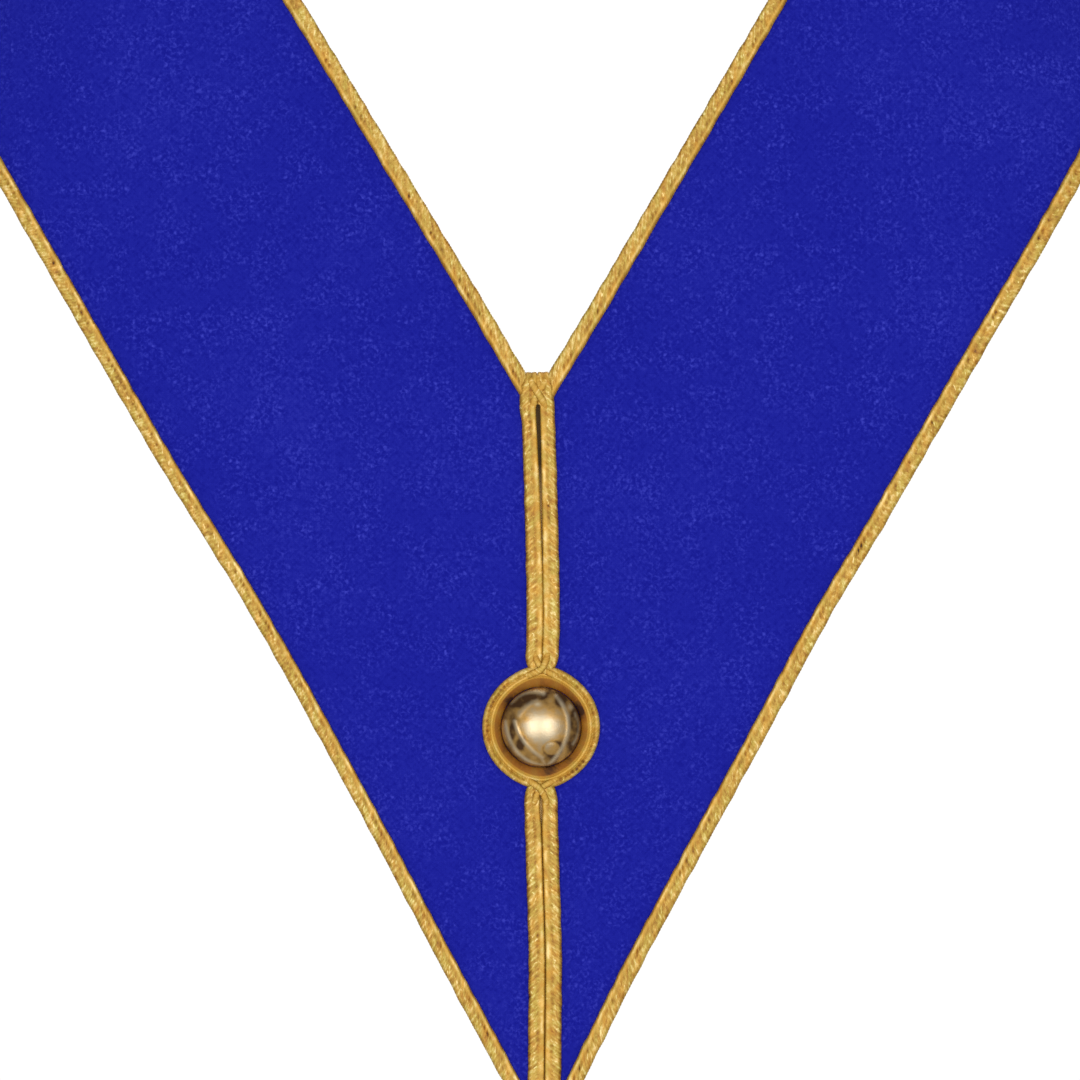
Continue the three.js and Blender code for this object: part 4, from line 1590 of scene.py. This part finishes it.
        return SurfaceMesh(np.concatenate([points, under], axis=1), uv, painted, True)

    def _turned(self, radius: Array, angle: Array, height: Array) -> Array:
        """Points at radii and angles clockwise from the top, at heights over the cloth.

        Args:
            radius: distances from the ring's middle.
            angle: angles in radians.
            height: heights over the cloth.

        Returns:
            Points in the row frame.
        """
        x = radius * np.sin(angle)
        z = radius * np.cos(angle) - self.cut.button_drop
        return np.stack([x, -height - self.cut.lay_gap, z], axis=-1) - self.cut.nape

    def build(self) -> bpy.types.Object:
        """Builds the ring."""
        piece = self.surface().build("ring_plait", Side.RIGHT, self.material)
        return finish_piece(piece, "gold_braid", "button_ring_braid")


@dataclass(frozen=True)
class CordPoint:
    """A point on a crossing cord's middle: to the right, up from the notch, and out from the cloth."""

    x: float
    z: float
    lift: float


@dataclass(frozen=True)
class CrossingCord:
    """A short cord of the braid that crosses to the other side."""

    name: str
    points: tuple[CordPoint, ...]
    half_width: float = 1.05 * MM


def cord_route(*rows: tuple[float, float, float]) -> tuple[CordPoint, ...]:
    """Points of a crossing cord from rows of millimetres."""
    return tuple(CordPoint(x * MM, z * MM, lift * MM) for x, z, lift in rows)


@dataclass(frozen=True)
class CrossingCords:
    """The cords that cross over the seam at the notch and at both ends of the ring."""

    cut: CollarCut
    plait: BraidPlait
    material: Material
    half_height: float = 0.45 * MM
    around: int = 16
    cords: tuple[CrossingCord, ...] = (
        CrossingCord(
            "notch_cord_under",
            cord_route(
                (-1.95, -11.6, 0.7), (-1.75, -9.6, 1.1), (-0.7, -6.6, 1.4),
                (1.1, -3.9, 1.5), (2.1, -1.9, 1.2),
            ),
        ),
        CrossingCord(
            "notch_cord_over",
            cord_route(
                (1.9, -11.6, 0.7), (1.7, -9.6, 1.2), (0.1, -6.6, 1.8),
                (-1.6, -3.9, 1.65), (-2.7, -1.9, 1.3),
            ),
        ),
        CrossingCord(
            "notch_cord_middle",
            cord_route(
                (0.0, -0.75, 0.2), (0.0, -1.3, 1.0), (0.05, -3.0, 1.4),
                (0.5, -5.4, 1.2), (1.0, -7.4, 0.9),
            ),
            0.9 * MM,
        ),
        CrossingCord(
            "ring_top_cord_under",
            cord_route(
                (-1.7, -79.6, 0.9), (-1.1, -82.2, 1.4), (0.5, -84.6, 1.5),
                (2.9, -86.0, 1.5), (5.2, -87.1, 0.8),
            ),
            0.9 * MM,
        ),
        CrossingCord(
            "ring_top_cord_over",
            cord_route(
                (2.0, -79.6, 0.9), (1.5, -82.2, 1.5), (0.2, -84.6, 1.95),
                (-2.4, -86.0, 1.6), (-4.9, -87.0, 0.8),
            ),
            0.95 * MM,
        ),
        CrossingCord(
            "ring_bottom_cord_under",
            cord_route(
                (4.6, -115.9, 0.8), (2.3, -117.1, 1.5), (-0.5, -118.8, 1.5),
                (-1.7, -121.4, 1.4), (-2.1, -124, 0.9),
            ),
            0.9 * MM,
        ),
        CrossingCord(
            "ring_bottom_cord_over",
            cord_route(
                (-4.8, -115.8, 0.8), (-2.7, -117.0, 1.6), (-0.4, -118.8, 1.95),
                (1.0, -121.4, 1.5), (1.7, -124, 0.9),
            ),
            0.95 * MM,
        ),
    )

    def surface(self, cord: CrossingCord, seed: int) -> SurfaceMesh:
        """A flattened round section carried along the cord's curve, with threads twisted round it.

        Args:
            cord: the cord.
            seed: sets how its threads vary.

        Returns:
            The surface.
        """
        rows = np.array([(p.x, p.z, p.lift) for p in cord.points])
        curve = curve_through(rows, 0.2 * MM)
        ahead = np.gradient(curve[:, :2], axis=0)
        ahead = ahead / np.linalg.norm(ahead, axis=1)[:, None]
        side = np.stack([ahead[:, 1], -ahead[:, 0]], axis=-1)
        run = np.concatenate([[0.0], np.cumsum(np.linalg.norm(np.diff(curve, axis=0), axis=1))])[:, None]
        angle = (np.arange(self.around) * 2 * np.pi / self.around)[None, :]
        phase = run / self.plait.thread_pitch + angle / (2 * np.pi) * 2.0
        tones = np.random.default_rng(seed).uniform(-1.0, 1.0, 97)
        tone = tones[np.floor(phase).astype(int) % len(tones)]
        thread = np.sin(np.pi * phase) ** 2
        swell = 1 + 0.07 * (thread - 0.5)
        away = cord.half_width * np.cos(angle) * swell
        lift = curve[:, 2:3] + self.half_height * np.sin(angle) * swell
        x = curve[:, 0:1] + side[:, 0:1] * away
        z = curve[:, 1:2] + side[:, 1:2] * away
        points = np.stack([x, -lift - self.cut.lay_gap, z], axis=-1) - self.cut.nape
        # Painted shade on the cord's sides, painted light on each thread's rise, and a random tone per
        # thread.
        light_and_tone = 0.6 - 0.36 * np.abs(np.cos(angle)) ** 5 + 0.08 * (thread - 0.5) + 0.06 * tone
        smooth = np.full_like(light_and_tone, 0.6)
        uv = np.stack(np.broadcast_arrays(run / MM, angle * self.half_height / MM), axis=-1)
        return SurfaceMesh(points, uv, {"light_and_tone": light_and_tone, "smooth": smooth})

    def build(self) -> list[bpy.types.Object]:
        """Builds the crossing cords.

        Returns:
            The pieces.
        """
        made = []
        for number, cord in enumerate(self.cords):
            piece = self.surface(cord, 110 + number).build(cord.name, Side.RIGHT, self.material)
            made.append(finish_piece(piece, "gold_braid"))
        return made


@dataclass(frozen=True)
class DomeRidge:
    """A raised curve on the button's dome, in shares of its radius to the right and up."""

    start: tuple[float, float]
    middle: tuple[float, float]
    end: tuple[float, float]
    width: float = 0.65 * MM
    strength: float = 1.0

    def points(self, count: int, radius: float) -> Array:
        """Points along the curve through its start, middle and end: a parabola in the curve's share.

        Args:
            count: how many points to make.
            radius: the button's radius.

        Returns:
            The points, (count, 2).
        """
        t = np.linspace(0.0, 1.0, count)[:, None]
        a, b, c = (np.array(p) * radius for p in (self.start, self.middle, self.end))
        pull = 2 * b - (a + c) / 2
        return (1 - t) ** 2 * a + 2 * t * (1 - t) * pull + t**2 * c


@dataclass(frozen=True)
class DomePatch:
    """A painted patch on the dome, used both for shade and for highlights.

    Its place and reach are in shares of the radius, and it has a depth.
    """

    place: tuple[float, float]
    reach: tuple[float, float]
    depth: float


@dataclass(frozen=True)
class GiltButton:
    """The domed button with its rim and low raised curves."""

    cut: CollarCut
    finish: GiltMetal = GiltMetal()
    rim_height: float = 1.3 * MM
    dome_height: float = 4.6 * MM
    ridge_height: float = 0.15 * MM
    rim_share: float = 0.015
    pole_radius: float = 0.02 * MM
    rings: int = 120
    spokes: int = 240
    ridges: tuple[DomeRidge, ...] = (
        DomeRidge((-0.90, 0.14), (-0.60, -0.62), (0.05, -0.98)),
        DomeRidge((-0.66, 0.16), (-0.44, -0.34), (0.02, -0.76), 0.6 * MM, 0.9),
        DomeRidge((0.39, 0.77), (0.68, -0.06), (0.18, -0.95)),
        DomeRidge((-0.55, 0.31), (-0.35, 0.54), (-0.10, 0.65), 0.75 * MM, 0.6),
        DomeRidge((-0.76, 0.64), (-0.38, 0.88), (0.06, 0.85), 0.75 * MM, 0.85),
        DomeRidge((0.86, 0.34), (0.95, -0.04), (0.80, -0.42), 0.6 * MM, 0.5),
        DomeRidge((0.00, -0.76), (0.06, -0.88), (0.12, -0.98), 0.5 * MM, 0.7),
    )
    # Patches of painted shade on the dome, between its raised curves and near its rim.
    patches: tuple[DomePatch, ...] = (
        DomePatch((-0.52, 0.66), (0.26, 0.15), 1.1),
        DomePatch((-0.05, 0.76), (0.3, 0.09), 0.75),
        DomePatch((0.5, 0.72), (0.15, 0.21), 0.85),
        DomePatch((0.84, 0.16), (0.11, 0.3), 0.9),
        DomePatch((0.8, -0.36), (0.13, 0.22), 0.75),
        DomePatch((-0.72, -0.1), (0.08, 0.25), 0.85),
        DomePatch((-0.5, -0.42), (0.12, 0.16), 0.8),
        DomePatch((0.3, -0.76), (0.2, 0.07), 0.3),
        DomePatch((0.5, -0.45), (0.06, 0.16), 0.3),
    )
    # Patches of painted highlight on the dome.
    highlight_spots: tuple[DomePatch, ...] = (
        DomePatch((-0.08, 0.58), (0.09, 0.065), 0.9),
        DomePatch((-0.12, 0.92), (0.07, 0.06), 0.9),
        DomePatch((0.74, 0.5), (0.07, 0.07), 0.7),
        DomePatch((0.86, 0.3), (0.03, 0.08), 0.4),
    )
    boss_place: tuple[float, float] = (0.28, -0.53)
    boss_size: tuple[float, float] = (0.21, 0.17)

    def _raised(self, x: Array, z: Array) -> tuple[Array, Array]:
        """Height from 0 to 1 of the raised curves and of the boss over the dome, at face points.

        Args:
            x: distances to the right of the button's middle.
            z: distances above it.

        Returns:
            The curves' height and the boss's.
        """
        radius = self.cut.button_radius
        curves = np.zeros_like(x)
        for ridge in self.ridges:
            line = ridge.points(48, radius)
            distance = np.hypot(x[..., None] - line[:, 0], z[..., None] - line[:, 1]).min(axis=-1)
            curves = np.maximum(curves, ridge.strength * bell(distance, ridge.width))
        return curves, eased(1.6 - 1.6 * self._from_boss(x, z))

    def _from_boss(self, x: Array, z: Array) -> Array:
        """Distance of face points from the boss's middle, in shares of the boss's size.

        Args:
            x: distances to the right of the button's middle.
            z: distances above it.

        Returns:
            1 on the boss's edge, and less inside it.
        """
        across = (x / self.cut.button_radius - self.boss_place[0]) / self.boss_size[0]
        up = (z / self.cut.button_radius - self.boss_place[1]) / self.boss_size[1]
        return np.hypot(across, up)

    def _boss_edge(self, x: Array, z: Array) -> Array:
        """Painted shade in a dark line round the boss: a bell curve of the distance from its edge."""
        return bell(self._from_boss(x, z) - 1.1, 0.2)

    def _patch_strength(self, patches: tuple[DomePatch, ...], x: Array, z: Array) -> Array:
        """The greatest depth of the patches at face points, each fading out as a bell curve.

        Args:
            patches: the places.
            x: distances to the right of the button's middle.
            z: distances above it.

        Returns:
            Depths from 0 up.
        """
        depths = []
        for patch in patches:
            across = (x / self.cut.button_radius - patch.place[0]) / patch.reach[0]
            up = (z / self.cut.button_radius - patch.place[1]) / patch.reach[1]
            depths.append(patch.depth * np.exp(-(across**2 + up**2)))
        return np.max(depths, axis=0)

    def surface(self) -> SurfaceMesh:
        """The button's skin: rings of points from the middle of the dome to the rim and under it.

        The dome is a cap of a sphere, from its chord and height, with the raised curves added. The last
        rings roll over the rim and close the flat underside.

        Returns:
            The surface.
        """
        radius, gap = self.cut.button_radius, self.cut.lay_gap
        sphere = (radius**2 + self.dome_height**2) / (2 * self.dome_height)
        share = np.linspace(0.0, 1.0, self.rings) ** 0.85
        reach = share * radius * (1 - self.rim_share)
        reach[0] = self.pole_radius
        level = np.sqrt(sphere**2 - reach**2) - sphere + self.dome_height + gap + self.rim_height
        roll = np.linspace(0.0, 1.0, 10)[1:]
        rim_reach = radius * (1 - self.rim_share) + radius * self.rim_share * np.sin(np.pi * roll)
        rim_level = (level[-1] - gap) * (1 - roll) + gap
        under = np.array([0.6, self.pole_radius / radius])
        reach = np.concatenate([reach, rim_reach, under * radius])[:, None]
        level = np.concatenate([level, rim_level, [gap, gap]])[:, None]
        angle = (np.arange(self.spokes) * 2 * np.pi / self.spokes)[None, :]
        x, z = reach * np.cos(angle), reach * np.sin(angle)
        curves, boss = self._raised(x, z)
        dome = (np.arange(len(reach)) < self.rings)[:, None] * np.clip((1 - reach / radius) * 14, 0.0, 1.0)
        raised = dome * np.maximum(curves, 0.7 * boss)
        y = -(level + raised * self.ridge_height)
        points = np.stack([x, y, z - self.cut.button_drop], axis=-1) - self.cut.nape
        outward = np.clip(reach / radius, 0.0, 1.0)
        # Painted shade and dark reflection, darkening towards the rim and darkest at the rim beside the
        # ring, with a little random tone, the patches of painted shade, and painted shade round the boss
        # and on it.
        shade_and_tone = np.interp(outward, (0.0, 0.3, 0.5, 0.8, 0.97, 1.0), (0.0, 0.12, 0.4, 0.5, 0.7, 0.95))
        shade_and_tone = shade_and_tone + 0.12 * wander(x * 1.7 + z, 9 * MM, 7) * outward + self._patch_strength(self.patches, x, z)
        shade_and_tone = np.clip(shade_and_tone + 0.3 * self._boss_edge(x, z) + 0.1 * dome * boss, 0.0, 1.0)
        # Pale wear and painted highlight on the raised curves, and the spots of painted highlight.
        wear_and_highlight = dome * np.clip(1.1 * curves - 0.1, 0.0, 1.0) * (0.75 + 0.2 * wander(x - z, 7 * MM, 8))
        wear_and_highlight = np.maximum(wear_and_highlight, dome * self._patch_strength(self.highlight_spots, x, z))
        uv = np.stack([x, z], axis=-1) / MM
        return SurfaceMesh(points, uv, {"shade_and_tone": shade_and_tone, "wear_and_highlight": wear_and_highlight})

    def build(self) -> bpy.types.Object:
        """Builds the button."""
        piece = self.surface().build("gilt_button", Side.RIGHT, self.finish.build())
        return finish_piece(piece, "gilt_metal", "button")


@dataclass(frozen=True)
class SoftBox:
    """A soft oval light: its place from the middle of the collar, its size and its power."""

    name: str
    place: tuple[float, float, float]
    size: tuple[float, float]
    power: float


@dataclass(frozen=True)
class Studio:
    """White surround, soft lights, a pale floor far below, and the camera at the photograph's view."""

    cut: CollarCut
    photo_size: float = 1080.0
    scale: float = 0.285 * MM
    seam_pixel: float = 539.8
    notch_pixel: float = 372.0
    seam_lean: float = 0.40
    distance: float = 2.6
    sensor: float = 36.0
    surround: float = 0.45
    backdrop: float = 1.05
    floor_radius: float = 0.85
    floor_drop: float = 0.14
    middle: tuple[float, float, float] = (0.0, -0.1, -0.27)
    lights: tuple[SoftBox, ...] = (
        SoftBox("front_light_left", (-0.86, -3.2, 0.1), (1.5, 2.1), 35.0),
        SoftBox("front_light_right", (0.86, -3.2, 0.1), (1.5, 2.1), 35.0),
        SoftBox("top_light", (0.2, 0.3, 1.9), (1.4, 1.4), 10.0),
        SoftBox("back_light", (0.7, 2.6, 0.6), (1.6, 2.0), 34.0),
    )

    def camera(self) -> None:
        """Puts the camera square to the front, rolled by the seam's lean in the photograph."""
        data = bpy.data.cameras.new("camera")
        data.sensor_width = self.sensor
        data.lens = self.sensor * self.distance / (self.photo_size * self.scale)
        data.clip_end = 50.0
        made = bpy.data.objects.new("camera", data)
        front = -self.cut.nape
        centre_x = (self.photo_size / 2 - self.seam_pixel) * self.scale
        centre_z = front[2] - (self.photo_size / 2 - self.notch_pixel) * self.scale
        made.location = (centre_x, front[1] - self.distance, centre_z)
        made.rotation_euler = (math.pi / 2, math.radians(self.seam_lean), 0.0)
        bpy.context.scene.collection.objects.link(made)
        bpy.context.scene.camera = made

    def light(self, box: SoftBox) -> None:
        """Adds a soft light that faces the middle of the collar.

        Args:
            box: the light's place, size and power.
        """
        data = bpy.data.lights.new(box.name, "AREA")
        data.shape = "ELLIPSE"
        data.size, data.size_y = box.size
        data.energy = box.power
        made = bpy.data.objects.new(box.name, data)
        away = np.array(box.place)
        made.location = away + np.array(self.middle)
        away = away / np.linalg.norm(away)
        made.rotation_euler = (math.acos(away[2]), 0.0, math.atan2(away[0], -away[1]))
        bpy.context.scene.collection.objects.link(made)

    def world(self) -> None:
        """A white surround to the camera, which lights the collar more softly than it looks."""
        world = bpy.data.worlds.new("surround")
        world.use_nodes = True
        tree = world.node_tree
        background = tree.nodes["Background"]
        path = tree.nodes.new("ShaderNodeLightPath")
        strength = tree.nodes.new("ShaderNodeMapRange")
        strength.inputs["To Min"].default_value = self.surround
        strength.inputs["To Max"].default_value = self.backdrop
        tree.links.new(path.outputs["Is Camera Ray"], strength.inputs["Value"])
        tree.links.new(strength.outputs["Result"], background.inputs["Strength"])
        background.inputs["Color"].default_value = (1.0, 1.0, 1.0, 1.0)
        bpy.context.scene.world = world

    def floor(self) -> None:
        """A round pale floor below the collar, which hangs free of it."""
        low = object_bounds()[0][2] - self.floor_drop
        angle = np.arange(96) * 2 * np.pi / 96
        ring = np.stack([np.cos(angle), np.sin(angle)], axis=-1) * self.floor_radius
        mesh = bpy.data.meshes.new("floor")
        mesh.from_pydata([(x, y, low) for x, y in ring], [], [tuple(range(96))])
        mesh.materials.append(PaleFloor().build())
        made = bpy.data.objects.new("floor", mesh)
        bpy.context.scene.collection.objects.link(made)
        made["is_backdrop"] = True

    def build(self) -> None:
        """Builds the whole studio."""
        self.camera()
        self.world()
        for box in self.lights:
            self.light(box)
        self.floor()
        bpy.context.scene.view_settings.view_transform = "Standard"


def dress_hook() -> None:
    """Gives the jewel hook its gilt."""
    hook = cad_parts["jewel_hook"]
    hook.data.materials.clear()
    gilt = GiltMetal("gilt_hook", open=(0.62, 0.42, 0.17), shaded=(0.45, 0.28, 0.1))
    hook.data.materials.append(gilt.build())
    REPORT.info("jewel_hook: dressed")


def main() -> None:
    """Builds every piece in order."""
    logging.basicConfig(level=logging.INFO, format="%(name)s %(message)s")
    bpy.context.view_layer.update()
    cut = CollarCut()
    lay = HandLay(cut)
    thread = GoldBraidThread().build()
    plait = BraidPlait()
    front = BraidPlait(
        inner_base=0.3,
        thread_slant=3.0 * MM,
        thread_relief=0.08 * MM,
        thread_shading=0.1,
        tone_paint=0.13,
        pit_shade=0.26,
        pit_depth=0.16 * MM,
        groove_shade=0.16,
    )
    Studio(cut).build()
    RibbonArms(cut, lay).build()
    EdgeBraids(cut, lay, plait, thread).build()
    FrontBraids(cut, lay, front, thread).build()
    ButtonRing(cut, plait, thread).build()
    CrossingCords(cut, plait, thread).build()
    GiltButton(cut).build()
    dress_hook()


if __name__ == "__main__":
    main()
